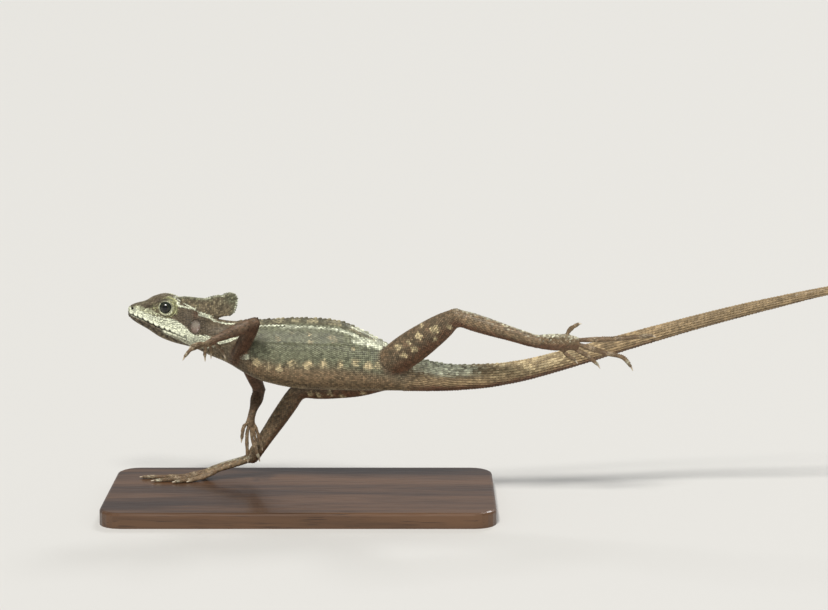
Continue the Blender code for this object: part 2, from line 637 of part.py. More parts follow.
PLAIN_SKIN = (0.27, 0.22, 0.15), 0.6
FINISHES = {
    "lower_jaw": ((0.55, 0.50, 0.38), 0.6), "crest": ((0.30, 0.27, 0.20), 0.6),
    "eye": ((0.03, 0.025, 0.02), 0.1), "stand": ((0.10, 0.055, 0.03), 0.4),
    "hand": ((0.22, 0.13, 0.09), 0.6), "foot": ((0.25, 0.17, 0.11), 0.6),
}

for old in list(bpy.data.objects):
    bpy.data.objects.remove(old)
MODEL = bpy.data.collections.new("basilisk")
CUTTERS = bpy.data.collections.new("cutters")
for group in (MODEL, CUTTERS):
    bpy.context.scene.collection.children.link(group)

build_stand()
build_head()
build_crest()
build_trunk()
ARM = ("upper_arm", "forearm", "hand"), (UPPER_ARM_SHAPE, FOREARM_SHAPE), build_hand
LEG = ("thigh", "shin", "foot"), (THIGH_SHAPE, SHIN_SHAPE), build_foot
for side, joints, paw, (names, shapes, build) in (
    ("left", LEFT_ARM, LEFT_HAND, ARM), ("left", LEFT_LEG, LEFT_FOOT, LEG),
    ("right", RIGHT_ARM, RIGHT_HAND, ARM), ("right", RIGHT_LEG, RIGHT_FOOT, LEG),
):
    build_limb(side, names, joints, shapes, paw, build)
for obj in MODEL.objects:
    finish = [f for k, f in FINISHES.items() if obj.name.startswith(k)] or [PLAIN_SKIN]
    paint(obj, *finish[0])
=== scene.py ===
# %% [markdown]
# # A brown basilisk, running on its hind legs
#
# This lesson dresses a plain solid model of a lizard. The model gives the size and the pose.
# We add what makes it look alive: one seamless skin, a coat of some twenty-seven thousand
# scales, wet eyes, ear drums, claws and a varnished base. Everything is worked out from a few
# named sizes, in millimetres, and turned into metres when a mesh is made.

# %% Load the model
import math

import bpy
import numpy as np
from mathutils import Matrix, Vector
from mathutils.bvhtree import BVHTree
from mathutils.kdtree import KDTree


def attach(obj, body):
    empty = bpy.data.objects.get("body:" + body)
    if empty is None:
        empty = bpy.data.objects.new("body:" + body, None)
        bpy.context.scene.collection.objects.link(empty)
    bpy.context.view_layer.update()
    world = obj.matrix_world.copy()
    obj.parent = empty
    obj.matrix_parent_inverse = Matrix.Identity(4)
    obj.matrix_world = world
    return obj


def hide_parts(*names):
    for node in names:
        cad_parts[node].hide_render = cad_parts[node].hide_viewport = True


MM = 0.001
TAU = math.tau
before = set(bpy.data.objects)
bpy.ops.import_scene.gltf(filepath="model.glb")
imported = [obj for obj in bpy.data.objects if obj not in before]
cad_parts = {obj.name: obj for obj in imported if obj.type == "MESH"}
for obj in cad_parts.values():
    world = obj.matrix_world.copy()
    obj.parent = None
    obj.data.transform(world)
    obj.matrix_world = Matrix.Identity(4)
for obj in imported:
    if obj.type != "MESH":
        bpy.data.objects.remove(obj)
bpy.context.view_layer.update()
scene = bpy.context.scene
dice = np.random.default_rng(11)
print("loaded", len(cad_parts), "nodes")

# %% [markdown]
# ## The camera
#
# The photograph was taken with a long lens, from a little above the animal. A 100 mm lens on a
# 36 mm sensor at about a metre gives the same gentle perspective. The tail leaves the picture.

# %% Camera
LOOK_AT = Vector((51.3, 0.0, 92.45))
CAMERA_DISTANCE = 1035.0
CAMERA_ELEVATION = math.radians(10.0)

camera = bpy.data.objects.new("camera", bpy.data.cameras.new("camera"))
scene.collection.objects.link(camera)
scene.camera = camera
camera.data.lens = 100.0
camera.data.sensor_width = 36.0
backwards = Vector((0.0, -math.cos(CAMERA_ELEVATION), math.sin(CAMERA_ELEVATION)))
camera.location = MM * (LOOK_AT + CAMERA_DISTANCE * backwards)
camera.rotation_euler = (math.pi / 2 - CAMERA_ELEVATION, 0.0, 0.0)
print("camera at", [round(v, 3) for v in camera.location])

# %% [markdown]
# ## Sizes of the trunk
#
# The trunk runs from the snout at -X to the tip of the tail. Three lines say how it changes on
# the way: the back, the belly and the half-width. They are the same as in the solid model.

# %% Sizes of the trunk
SNOUT_X = -77.4
TAIL_END_X = 366.0
TRUNK_LONG = TAIL_END_X - SNOUT_X
TOP_LINE = (
    (SNOUT_X, 91.0), (-76.4, 92.2), (-74.2, 93.3), (-69.5, 94.5), (-65.6, 96.6), (-61.0, 97.6),
    (-57.5, 96.9), (-51.3, 93.6), (-44.1, 89.7), (-37.0, 86.1), (-29.0, 85.1), (-18.0, 85.6),
    (0.0, 86.4), (9.0, 86.1), (18.0, 84.9), (27.0, 81.3), (36.0, 76.5), (46.0, 71.0), (56.0, 66.9),
    (72.0, 64.4), (84.0, 64.6), (99.0, 66.4), (117.0, 70.7), (158.0, 82.1), (207.0, 95.4),
    (240.0, 102.3), (285.0, 108.2), (330.0, 109.3), (TAIL_END_X, 106.4),
)
BOTTOM_LINE = (
    (SNOUT_X, 88.6), (-76.2, 86.6), (-74.0, 84.8), (-68.3, 81.4), (-62.9, 77.8), (-57.5, 75.6),
    (-47.7, 73.0), (-40.6, 69.5), (-33.4, 66.3), (-24.4, 61.0), (-15.4, 57.3), (0.0, 54.5),
    (18.0, 53.8), (46.0, 53.2), (63.0, 52.9), (81.0, 53.8), (99.0, 56.8), (117.0, 61.8),
    (158.0, 75.0), (207.0, 90.1), (240.0, 98.7), (285.0, 106.0), (330.0, 107.9), (TAIL_END_X, 105.7),
)
HALF_WIDTH = (
    (SNOUT_X, 1.3), (-76.2, 3.0), (-73.0, 4.3), (-67.0, 5.9), (-60.0, 7.4), (-54.0, 8.3),
    (-46.5, 9.5), (-40.0, 8.7), (-34.0, 7.8), (-28.0, 8.7), (-20.0, 10.5), (-8.0, 12.0), (6.0, 12.6),
    (20.0, 11.9), (36.0, 9.6), (46.0, 7.8), (56.0, 6.5), (72.0, 5.5), (99.0, 4.6), (158.0, 3.4),
    (207.0, 2.6), (240.0, 1.9), (285.0, 1.2), (330.0, 0.75), (TAIL_END_X, 0.35),
)
# Height of the widest level between the belly and the back, and the sections' fullness
WIDEST_LEVEL = ((SNOUT_X, 0.5), (-60.0, 0.45), (-46.0, 0.42), (-30.0, 0.5), (5.0, 0.42), (46.0, 0.5))
UPPER_FULLNESS = (
    (SNOUT_X, 2.2), (-68.0, 2.9), (-59.0, 3.4), (-46.0, 2.2), (-30.0, 2.0), (5.0, 1.75), (46.0, 1.9),
)
LOWER_FULLNESS = ((SNOUT_X, 2.2), (-60.0, 2.1), (-30.0, 2.0), (5.0, 2.3), (46.0, 2.1))
TAIL_SWING = ((40.0, 0.0), (90.0, 2.5), (160.0, 1.0), (230.0, -5.0), (300.0, -4.0), (TAIL_END_X, 6.0))
HEAD_END = -41.0
JAW_BACK = -49.6
EYE_AT = np.array((-59.5, 5.2, 92.3))
EYE_RADIUS = 3.4
EAR_AT = np.array((-46.4, 9.5, 84.3))
EAR_SIZE = np.array((2.2, 1.6, 2.9))
NOSTRIL_AT = np.array((-75.2, 3.4, 91.4))
NOSTRIL_SIZE = np.array((0.62, 1.5, 0.5))
LIP_SEAMS = -76.8 + np.cumsum([0, 2.2, 2.1, 2.3, 2.4, 2.5, 2.5, 2.5, 2.4, 2.3, 2.1, 2.0])
MOUTH_LINE = ((-80.0, 90.2), (-76.0, 88.8), (-70.2, 86.5), (-62.6, 83.1), (-57.3, 81.3), (-51.0, 78.9))
SIDES = {"left": -1, "right": 1}
print("the trunk is", TRUNK_LONG, "mm long, in", len(TOP_LINE), "steps along the back")

# %% [markdown]
# ## Smooth lines
#
# `ease` joins the points of such a table with cubic pieces. Each slope is the harmonic mean of
# the slopes beside it, so the line never swings past a point.

# %% Smooth lines and small helpers


def ease(x, points):
    """Value at x of the smooth line through the points."""
    px, py = np.array(points, float).T
    step = np.diff(px)
    slope = np.diff(py) / step
    tangent = np.zeros(len(px))
    tangent[0], tangent[-1] = slope[0], slope[-1]
    same_way = slope[:-1] * slope[1:] > 0
    before, after = slope[:-1][same_way], slope[1:][same_way]
    tangent[1:-1][same_way] = 2 * before * after / (before + after)
    x = np.clip(np.asarray(x, float), px[0], px[-1])
    i = np.clip(np.searchsorted(px, x, side="right") - 1, 0, len(step) - 1)
    t = (x - px[i]) / step[i]
    rise = py[i] * (1 + 2 * t) * (1 - t) ** 2 + tangent[i] * step[i] * t * (1 - t) ** 2
    return rise + py[i + 1] * t * t * (3 - 2 * t) - tangent[i + 1] * step[i] * t * t * (1 - t)


def unit(vectors):
    """The vectors at length 1."""
    vectors = np.asarray(vectors, float)
    return vectors / np.maximum(np.linalg.norm(vectors, axis=-1, keepdims=True), 1e-12)


def hill(distance, reach):
    """1 at distance 0, falling to 0 in a bell of this reach."""
    return np.exp(-((np.asarray(distance) / reach) ** 2))


def step_up(value, low, high):
    """0 at low and 1 at high, smooth between and level beyond. High may be less than low."""
    t = np.clip((np.asarray(value, float) - low) / (high - low), 0, 1)
    return t * t * (3 - 2 * t)


def between(value, start, full, last, end):
    """Rises from 0 at the start to 1 where full, and falls from 1 at the last to 0 at the end."""
    return step_up(value, start, full) * step_up(value, end, last)


def columns(*values):
    """The values side by side, as the last axis of one array."""
    return np.stack(np.broadcast_arrays(*values), axis=-1)


def around(count):
    """Evenly spread angles of one full turn."""
    return np.linspace(0, TAU, count, endpoint=False)


def run_of(points):
    """The way along a line at each of its points: the sum of the steps before it."""
    return np.concatenate([[0], np.cumsum(np.linalg.norm(np.diff(points, axis=0), axis=1))])


def walk(at, run, values):
    """The values at these ways along a line, evenly mixed between its points."""
    return np.stack([np.interp(at, run, column) for column in values.T], axis=-1)


print("back above the vent at", float(ease(46.0, TOP_LINE)), "mm")

# %% [markdown]
# ## The trunk as a surface of two numbers
#
# A section of the trunk is two half superellipses: z and y are cosine and sine of an angle,
# raised to a power that makes the section fuller or leaner. The head's relief is added to the
# half-width: brow, eye, lore, cheek, lips, and the thin groove of the mouth.

# %% The trunk's surface
# Swellings of the head: height, x and its reach, z and its reach
HEAD_SWELLS = (
    (0.9, EYE_AT[0], 4.4, EYE_AT[2], 3.6), (-0.6, -67.5, 3.0, 89.5, 2.0), (1.1, -48.0, 5.0, 80.0, 4.5),
)
# Folds of skin: x, share of the depth, reach
THROAT_FOLDS = ((-35.5, 1.0, 0.8), (-38.6, 0.8, 0.7), (-32.6, 0.6, 0.7))
ARM_FOLDS = ((-22.5, 1.0, 0.7), (-19.6, 0.7, 0.6))
GROIN_FOLDS = ((32.0, 1.0, 0.8), (35.2, 0.8, 0.7))


def head_relief(x, z):
    """How far the side of the head swells: bells of x and z, and ridges along the mouth line."""
    along_brow = np.clip((x + 73.0) / 5.0, 0, 1) * np.clip((-51.0 - x) / 5.0, 0, 1)
    brow = along_brow * hill(z - ease(x, TOP_LINE) + 1.9, 1.2)
    swells = [
        high * hill((x - a) / far_x, 1) * hill((z - b) / far_z, 1)
        for high, a, far_x, b, far_z in HEAD_SWELLS
    ]
    along_lips = np.clip((x - SNOUT_X) / 4.0, 0, 1) * np.clip((JAW_BACK - x) / 4.0, 0, 1)
    off = z - ease(x, MOUTH_LINE)
    lips = 0.5 * along_lips * (hill(off - 1.1, 0.9) + 0.8 * hill(off + 1.1, 0.9))
    return sum((brow, *swells, lips, -0.55 * along_lips * hill(off, 0.28)))


def creases(x, folds):
    """Bells across the places of the folds."""
    return sum(depth * hill(x - at, reach) for at, depth, reach in folds)


def body_folds(x, share):
    """Small folds of loose skin: at the throat, before and behind the arm, in the groin, and one
    long shallow fold along the flank. Share is 0 at the belly and 1 at the back."""
    throat = -0.45 * step_up(share, 0.8, 0.35) * creases(x, THROAT_FOLDS)
    arm = -0.35 * hill(share - 0.45, 0.3) * creases(x, ARM_FOLDS)
    groin = -0.35 * hill(share - 0.5, 0.3) * creases(x, GROIN_FOLDS)
    off = share - (0.69 + 0.05 * step_up(x, 5.0, 30.0))
    flank = between(x, -18, -10, 24, 34) * (0.28 * hill(off - 0.02, 0.02) - 0.3 * hill(off + 0.015, 0.02))
    return throat + arm + groin + flank


def section(x, grow=0.0):
    """The trunk at x: back, belly, widest level and half-width."""
    top, bottom = ease(x, TOP_LINE) + grow, ease(x, BOTTOM_LINE) - grow
    return top, bottom, bottom + (top - bottom) * ease(x, WIDEST_LEVEL), ease(x, HALF_WIDTH) + grow


def half_section(x, above, top, bottom, level):
    """Height and fullness of the half of a section above its widest level, or below it."""
    fullness = np.where(above, ease(x, UPPER_FULLNESS), ease(x, LOWER_FULLNESS))
    return np.where(above, top - level, level - bottom), fullness


def body_at(x, angle, grow=0.0):
    """Points of the trunk at x and at an angle from the back down the left side, in radians.
    The snout closes in a half ellipsoid one millimetre deep."""
    x, angle = np.broadcast_arrays(np.asarray(x, float), np.asarray(angle, float))
    inner = np.maximum(x, SNOUT_X + 1.0)
    close = np.sqrt(np.clip(1 - (inner - x) ** 2, 0, 1))
    top, bottom, level, wide = section(inner, grow)
    rise, side = np.cos(angle), np.sin(angle)
    tall, fullness = half_section(inner, rise > 0, top, bottom, level)
    power = 2 / fullness
    z = level + tall * np.sign(rise) * np.abs(rise) ** power
    folds = body_folds(inner, (z - bottom) / (top - bottom))
    relief = np.where(inner < HEAD_END, head_relief(inner, z), folds)
    half = wide * np.abs(side) ** power + relief * np.minimum(1, 2 * np.abs(side))
    y = ease(inner, TAIL_SWING) - np.sign(side) * half * close
    return columns(x, y, level + (z - level) * close)


def side_at(x, z, grow=0.0):
    """Half-width of the trunk at x and at a height: the section's formula, solved for y."""
    top, bottom, level, wide = section(x, grow)
    tall, fullness = half_section(x, z > level, top, bottom, level)
    side = np.sqrt(1 - np.clip(np.abs(z - level) / tall, 0, 1) ** fullness)
    relief = np.where(x < HEAD_END, head_relief(x, z), 0)
    return wide * side ** (2 / fullness) + relief * np.minimum(1, 2 * side)


def trunk_distance(points):
    """About how far points are outside the trunk, negative inside it."""
    x, y, z = points.T
    top, bottom, level, wide = section(x)
    tall, power = half_section(x, z > level, top, bottom, level)
    y = np.abs(y - ease(x, TAIL_SWING))
    reach = ((y / wide) ** power + (np.abs(z - level) / tall) ** power) ** (1 / power)
    return (reach - 1) * np.minimum(tall, wide)


def ear_slope(way):
    """How fast the cheek widens at the ear along this way in the side view."""
    (x, z), (dx, dz) = EAR_AT[[0, 2]], way
    return float(side_at(x + dx, z + dz) - side_at(x - dx, z - dz)) / 4


EAR_AT[1] = side_at(EAR_AT[0], EAR_AT[2]) - 0.25
EAR_LEAN = np.array((ear_slope((2, 0)), ear_slope((0, 2))))
print("girth at the flank", round(float(run_of(body_at(0.0, np.linspace(0, TAU, 200)))[-1]), 1), "mm")

# %% [markdown]
# ## Sizes of the limbs
#
# A limb is three straight lengths: upper, lower and palm. Each has rows of a share of the way
# along it and the half-thickness there, in the plane of the limb and across it. Fingers and
# toes are given by the line that they follow from the palm.

# %% Sizes of the limbs
SHAPES = {
    "arm": (
        ((0.0, 3.6, 3.2), (0.5, 3.5, 3.0), (1.0, 3.2, 2.8)),
        ((0.0, 3.2, 2.8), (0.35, 3.2, 2.8), (0.75, 2.1, 1.9), (1.0, 1.8, 1.6)),
    ),
    "leg": (
        ((0.0, 7.4, 6.0), (0.3, 7.8, 6.0), (0.65, 6.8, 5.2), (1.0, 4.4, 3.8)),
        ((0.0, 4.2, 3.6), (0.35, 4.0, 3.5), (0.75, 3.3, 2.8), (1.0, 3.1, 2.6)),
    ),
}
PAWS = {
    "arm": {"half": (2.3, 1.5), "knuckles": (1.6, 0.8, 0.4, 0.4, 1.2), "radii": (1.0, 0.68)},
    "leg": {"half": (4.1, 1.8), "knuckles": (7.0, 3.4, 1.4, 0.8, 5.4), "radii": (1.3, 0.72)},
}
CLAW_LENGTH = 2.1
CLAW_RADIUS = 0.5
DIGIT_STEPS = 33
LIMBS = {
    "arm_left": {
        "joints": ((-29.0, -4.2, 68.6), (-19.2, -20.0, 88.0), (-37.2, -17.0, 79.9)),
        "palm": (-40.4, -16.5, 77.9), "across": (0.45, 0.75, -0.6), "droop": 0.8,
        "digits": (
            ((-35.6, -14.2, 76.2), (-33.6, -13.0, 72.6)), ((-39.2, -14.6, 75.4), (-39.2, -14.0, 73.0)),
            ((-41.7, -15.9, 74.8), (-41.7, -15.5, 72.0)), ((-47.6, -17.3, 75.4), (-50.4, -17.0, 72.4)),
            ((-44.0, -19.0, 78.4), (-46.9, -20.2, 77.6)),
        ),
    },
    "arm_right": {
        "joints": ((-26.0, 5.0, 68.0), (-19.6, 15.5, 50.2), (-22.8, 8.5, 40.6)),
        "palm": (-23.9, 8.2, 35.6), "across": (0.8, 0.6, 0.1), "droop": 0.3,
        "digits": (
            ((-26.6, 5.8, 34.4), (-27.4, 5.2, 29.6)), ((-25.2, 6.8, 28.0), (-24.9, 6.6, 19.8)),
            ((-22.6, 8.0, 28.0), (-20.0, 8.4, 19.8)), ((-21.7, 8.8, 30.0), (-21.0, 8.6, 25.0)),
            ((-20.6, 10.2, 31.0), (-18.8, 10.8, 24.4)),
        ),
    },
    "leg_left": {
        "joints": ((40.2, -4.5, 66.6), (69.6, -20.0, 90.8), (105.2, -17.0, 79.0)),
        "palm": (123.4, -16.2, 78.2), "across": (0.05, -0.2, 1.0), "droop": 0.9,
        "digits": (
            ((119.4, -15.2, 72.6), (122.8, -14.8, 70.3)), ((128.8, -15.0, 71.9), (133.0, -14.6, 68.2)),
            ((136.8, -14.5, 73.2), (144.2, -14.2, 71.2), (147.9, -14.0, 67.2)),
            ((138.0, -14.2, 79.5), (157.4, -12.6, 80.8)), ((120.8, -17.7, 84.9), (124.0, -18.6, 87.2)),
        ),
    },
    "leg_right": {
        "joints": ((38.0, 3.0, 59.6), (-1.5, 15.0, 50.6), (-24.0, 20.0, 16.9)),
        "palm": (-44.0, 18.2, 11.2), "across": (-0.15, 1.0, 0.0), "droop": 0.0,
        "digits": (
            ((-48.0, 14.2, 8.4), (-52.2, 12.0, 7.8)), ((-51.0, 13.6, 8.3), (-58.6, 10.8, 7.8)),
            ((-54.0, 15.6, 8.4), (-68.6, 13.0, 7.8)), ((-56.0, 18.8, 8.4), (-74.6, 19.8, 7.8)),
            ((-46.6, 22.6, 8.5), (-48.4, 26.4, 7.8)),
        ),
    },
}
print(len(LIMBS), "limbs,", sum(len(limb["digits"]) for limb in LIMBS.values()), "digits")

# %% [markdown]
# ## Surfaces of the limbs
#
# A length is a tube round a straight axis, which closes in a rounded end past each joint. A
# digit is a round tube along a bent line, and it swells a little at each of its joints.

# %% Surfaces of the limbs


def make_length(start, end, shape, plane):
    """A straight length of a limb: its ends, its axes, its half-thickness rows and how far its
    rounded ends reach."""
    start, end = np.array(start, float), np.array(end, float)
    along = unit(end - start)
    in_plane = unit(np.cross(plane, along))
    return {
        "start": start, "along": along, "in_plane": in_plane, "across": np.cross(along, in_plane),
        "long": float(np.linalg.norm(end - start)), "shape": shape,
        "caps": (min(shape[0][1:]), min(shape[-1][1:])),
    }


def half_sizes(length, share):
    """Half-thickness in the plane and across it, at this share of the way along a length."""
    return [ease(share, [(row[0], row[k]) for row in length["shape"]]) for k in (1, 2)]


def length_at(length, run, angle, grow=0.0):
    """Points of a length: run is the way from its start in mm, and past the ends the section
    shrinks as a half ellipse does. The angle goes round from the limb's plane."""
    run, angle = np.broadcast_arrays(np.asarray(run, float), np.asarray(angle, float))
    long, (low, high) = length["long"], length["caps"]
    first, second = half_sizes(length, np.clip(run / long, 0, 1))
    past = np.where(run < 0, -run / (low + grow), (run - long) / (high + grow))
    close = np.sqrt(np.clip(1 - np.clip(past, 0, 1) ** 2, 0, 1))
    return (
        length["start"] + run[..., None] * length["along"]
        + ((first + grow) * close * np.cos(angle))[..., None] * length["in_plane"]
        + ((second + grow) * close * np.sin(angle))[..., None] * length["across"]
    )


def curve_through(points, count):
    """Evenly spread points along a smooth curve through the given ones."""
    points = np.array(points, float)
    run = run_of(points)
    at = np.linspace(0, run[-1], count)
    return np.stack([ease(at, columns(run, column)) for column in points.T], axis=1)


def tube_frame(centres):
    """The direction of a curved line at each point, and two directions square to it."""
    way = unit(np.gradient(centres, axis=0))
    helper = np.eye(3)[np.argmin(np.abs(way).max(axis=0))]
    side = unit(np.cross(way, helper))
    return way, side, np.cross(way, side)


def tube_at(centres, radius, angle):
    """Round sections square to a curved line: centre plus cosine and sine of the angle."""
    _, side, other = tube_frame(centres)
    angle = angle[None, :, None]
    spokes = np.cos(angle) * side[:, None, :] + np.sin(angle) * other[:, None, :]
    return centres[:, None, :] + np.asarray(radius)[:, None, None] * spokes


def make_digit(limb, paw, i, points):
    """A finger or toe: its line, its radius that swells at each joint, and its claw's line."""
    palm, across, way = np.array(limb["palm"], float), unit(limb["across"]), limb["lengths"][2]["along"]
    root = palm + across * (i - 2) * paw["half"][0] * 0.3 - way * paw["knuckles"][i]
    centres = curve_through([root, *points], DIGIT_STEPS)
    share = np.linspace(0, 1, DIGIT_STEPS)
    thick, thin = paw["radii"]
    radius = thick + (thin - thick) * share
    radius = radius * (1 + 0.07 * np.cos(TAU * 3.5 * share)) * (1 - 0.4 * hill(share, 0.12))
    return {"centres": centres, "radius": radius, "way": unit(centres[-1] - centres[-4])}


for name, limb in LIMBS.items():
    paw, shapes = PAWS[name[:3]], SHAPES[name[:3]]
    joints = [np.array(j, float) for j in (*limb["joints"], limb["palm"])]
    plane = unit(np.cross(joints[1] - joints[0], joints[2] - joints[1]))
    limb["lengths"] = [make_length(joints[i], joints[i + 1], shapes[i], plane) for i in (0, 1)]
    wide, thick = paw["half"]
    palm_shape = ((0.0, 0.78 * wide, thick), (0.65, wide, thick), (1.0, 0.75 * wide, 0.8 * thick))
    palm_plane = np.cross(unit(joints[3] - joints[2]), unit(limb["across"]))
    limb["lengths"].append(make_length(joints[2], joints[3], palm_shape, palm_plane))
    limb["toes"] = [make_digit(limb, paw, i, points) for i, points in enumerate(limb["digits"])]
    print(name, "lengths", [round(length["long"], 1) for length in limb["lengths"]], "mm")

# %% [markdown]
# ## From arrays to meshes
#
# A grid of points becomes a closed tube: quads between neighbouring rings, and a fan of
# triangles to a pole at each end. Everything goes into the mesh as whole arrays.

# %% Mesh helpers


def put_mesh(name, points, faces):
    """A mesh from points in mm and a list of index arrays, each with one face in a row."""
    mesh = bpy.data.meshes.new(name)
    corners = np.concatenate([f.ravel() for f in faces])
    sizes = np.concatenate([np.full(len(f), f.shape[1]) for f in faces])
    mesh.vertices.add(len(points))
    mesh.vertices.foreach_set("co", (np.asarray(points) * MM).astype(np.float32).ravel())
    mesh.loops.add(len(corners))
    mesh.loops.foreach_set("vertex_index", corners.astype(np.int32))
    mesh.polygons.add(len(sizes))
    mesh.polygons.foreach_set("loop_start", (np.cumsum(sizes) - sizes).astype(np.int32))
    mesh.update(calc_edges=True)
    return mesh


def put_object(name, points, faces):
    """An object with a mesh of these points and faces, at the origin, in the scene."""
    obj = bpy.data.objects.new(name, put_mesh(name, points, faces))
    scene.collection.objects.link(obj)
    return obj


def outward(points, faces):
    """The faces turned outwards: the volume that they enclose, a sum of signed wedges round the
    middle of the points, has to be positive."""
    spokes = points - points.mean(axis=0)
    total = 0.0
    for f in faces:
        for k in range(1, f.shape[1] - 1):
            cross = np.cross(spokes[f[:, k]], spokes[f[:, k + 1]])
            total += np.einsum("ij,ij->i", spokes[f[:, 0]], cross).sum()
    return [f[:, ::-1] for f in faces] if total < 0 else faces


def grid_quads(index, turned=False):
    """A quad for each cell of a grid of point numbers, turned one way or the other."""
    a, b, c, d = index[:-1, :-1], index[:-1, 1:], index[1:, 1:], index[1:, :-1]
    return np.stack([a, d, c, b] if turned else [a, b, c, d], axis=-1).reshape(-1, 4)


def shell(rings, poles):
    """Points and faces of a closed tube over rings of points. The two poles come last."""
    index = np.arange(rings.shape[0] * rings.shape[1]).reshape(rings.shape[:2])
    first, last = index[0], index[-1]
    front = columns(np.roll(first, -1), first, index.size)
    rear = columns(last, np.roll(last, -1), index.size + 1)
    points = np.concatenate([rings.reshape(-1, 3), np.array(poles, float)])
    quads = grid_quads(np.pad(index, ((0, 0), (0, 1)), "wrap"))
    return points, outward(points, [quads, np.concatenate([front, rear])])


def tube(name, rings, poles):
    """A closed tube as an object that isn't in the scene yet."""
    return bpy.data.objects.new(name, put_mesh(name, *shell(rings, poles)))


print("a ring of 8 points has", len(grid_quads(np.arange(18).reshape(2, 9))), "quads to the next")

# %% [markdown]
# ## One skin
#
# The trunk, the crest, the lids, every length of every limb and every digit are closed tubes
# that overlap. One Boolean union makes them a single skin, and three cuts open the eye sockets,
# the ears and the nostrils. The skin lies a quarter of a millimetre inside the solid model,
# which leaves room for the scales.

# %% Tubes of the skin
COAT_DEPTH = 0.25
DIGIT_COAT_DEPTH = 0.12
AROUND_BODY = 132
AROUND_LIMB = 36
AROUND_DIGIT = 16
SNOUT_STEPS = 7
THIN_TAIL_X = 300.0
VENT_X = 46.0


def trunk_stations():
    """Places along X: tight at the snout, then about every third of a mm on the head, wider behind."""
    snout = SNOUT_X + COAT_DEPTH + 1.0 - np.cos(np.linspace(0.12, math.pi / 2, SNOUT_STEPS))
    return np.concatenate([
        snout, np.arange(snout[-1] + 0.3, HEAD_END, 0.36), np.arange(HEAD_END, VENT_X, 0.8),
        np.arange(VENT_X, 170.0, 1.3), np.arange(170.0, TAIL_END_X - 1.0, 2.0),
        (TAIL_END_X - 0.6, TAIL_END_X - 0.3),
    ])


def skin_trunk():
    """The trunk's tube, a coat's depth inside the solid. The thin end of the tail shrinks by a
    share instead, so that it doesn't vanish."""
    stations = trunk_stations()
    x, angle = stations[:, None], around(AROUND_BODY)[None, :]
    rings = body_at(x, angle, -COAT_DEPTH)
    thin = np.clip(ease(x, HALF_WIDTH) * 0.3, 0.08, 1)[..., None]
    middle = rings.mean(axis=1, keepdims=True)
    end = middle + (body_at(x, angle) - middle) * (1 - 0.3 * thin)
    rings = np.where(x[..., None] > THIN_TAIL_X, end, rings)
    ends = rings.mean(axis=1)
    return tube("skin", rings, (ends[0] - (0.02, 0, 0), ends[-1] + (0.25, 0, 0)))


def skin_length(length):
    """The tube of a length: rings at even steps, and at even angles over its rounded ends."""
    turns = np.linspace(math.radians(82), 0, 7)
    long, (head, tail) = length["long"], np.array(length["caps"]) - COAT_DEPTH
    runs = np.concatenate([
        -head * np.sin(turns), np.arange(0.9, long - 0.4, 0.9), long + tail * np.sin(turns[::-1]),
    ])
    rings = length_at(length, runs[:, None], around(AROUND_LIMB)[None, :], -COAT_DEPTH)
    ends = length["start"] + np.array([[-head], [long + tail]]) * length["along"]
    return tube("length", rings, ends)


def skin_digit(digit):
    """The tube of a finger or toe, with two narrower rings past its end."""
    centres, radius, way = digit["centres"], digit["radius"] - DIGIT_COAT_DEPTH, digit["way"]
    tip = centres[-1] + way * 0.5 * radius[-1] * np.array([[0.5], [0.85]])
    centres = np.concatenate([centres, tip])
    radius = np.concatenate([radius, radius[-1] * np.array([0.87, 0.5])])
    rings = tube_at(centres, radius, around(AROUND_DIGIT))
    return tube("digit", rings, (centres[0] - 0.3 * unit(centres[1] - centres[0]), tip[-1] + 0.1 * way))


limb_tubes = []
for limb in LIMBS.values():
    limb_tubes += [skin_length(length) for length in limb["lengths"]]
    limb_tubes += [skin_digit(toe) for toe in limb["toes"]]
print(len(limb_tubes), "tubes for the limbs")

# %% [markdown]
# ## The crest and the lids
#
# The crest is a blade between two lines: its root on the nape and its rim. A point of it is a
# share of the way from root to rim, and the thickness falls from the root up. A lid is a torus,
# squashed a little, leaning with the face and turned a little to the front.

# %% Crest and lids
CREST_RIM = (
    (-56.5, 96.2), (-51.2, 96.5), (-45.8, 95.9), (-42.3, 95.6), (-39.3, 96.6), (-36.2, 97.2), (-34.8, 96.8),
    (-33.4, 97.9), (-31.2, 98.4), (-29.0, 97.6), (-28.2, 95.6), (-28.7, 92.2), (-30.0, 88.9),
)
CREST_ROOT = ((-56.0, 93.0), (-46.0, 87.5), (-38.5, 84.5), (-36.0, 87.0), (-31.5, 87.8))
CREST_THICK_RIM = 1.0
CREST_SECTION = ((0.0, 5.0), (0.3, 3.4), (0.6, 2.0), (0.93, CREST_THICK_RIM), (1.0, 0.5))
CREST_FREE_X = -34.5
CREST_FADE = 9.0
THIN_COAT = 0.12
LID_AT_Y = 7.35
LID_LEAN = math.radians(10.0)
LID_RADIUS = 3.4
LID_SQUASH = 0.92
LID_THICK = 0.75
LID_TURN = 0.15
LID_WRINKLES = 22


def along_line(points, share):
    """Points at these shares of the way along a line of straight pieces."""
    points = np.array(points, float)
    run = run_of(points)
    return walk(share * run[-1], run, points)


def crest_at(along, up, side, grow=0.0):
    """Points of the crest: along its length, up from root to rim, and on a side, -1 or 1.
    The blade ripples a little over its length, as thin skin over soft rays does."""
    along, up = np.broadcast_arrays(np.asarray(along, float), np.asarray(up, float))
    rim, root = along_line(CREST_RIM, along), along_line(CREST_ROOT, along)
    line = root + (rim - root) * up[..., None]
    rooted = np.clip((CREST_FREE_X - root[..., 0]) / CREST_FADE, 0, 1)
    thick = ease(up, CREST_SECTION)
    half = np.minimum(thick, CREST_THICK_RIM) / 2
    half = half + rooted * (thick / 2 - half) + grow
    half = half + 0.07 * np.sin(along * 60.0) * hill(up - 0.6, 0.3)
    return columns(line[..., 0], side * half, line[..., 1])


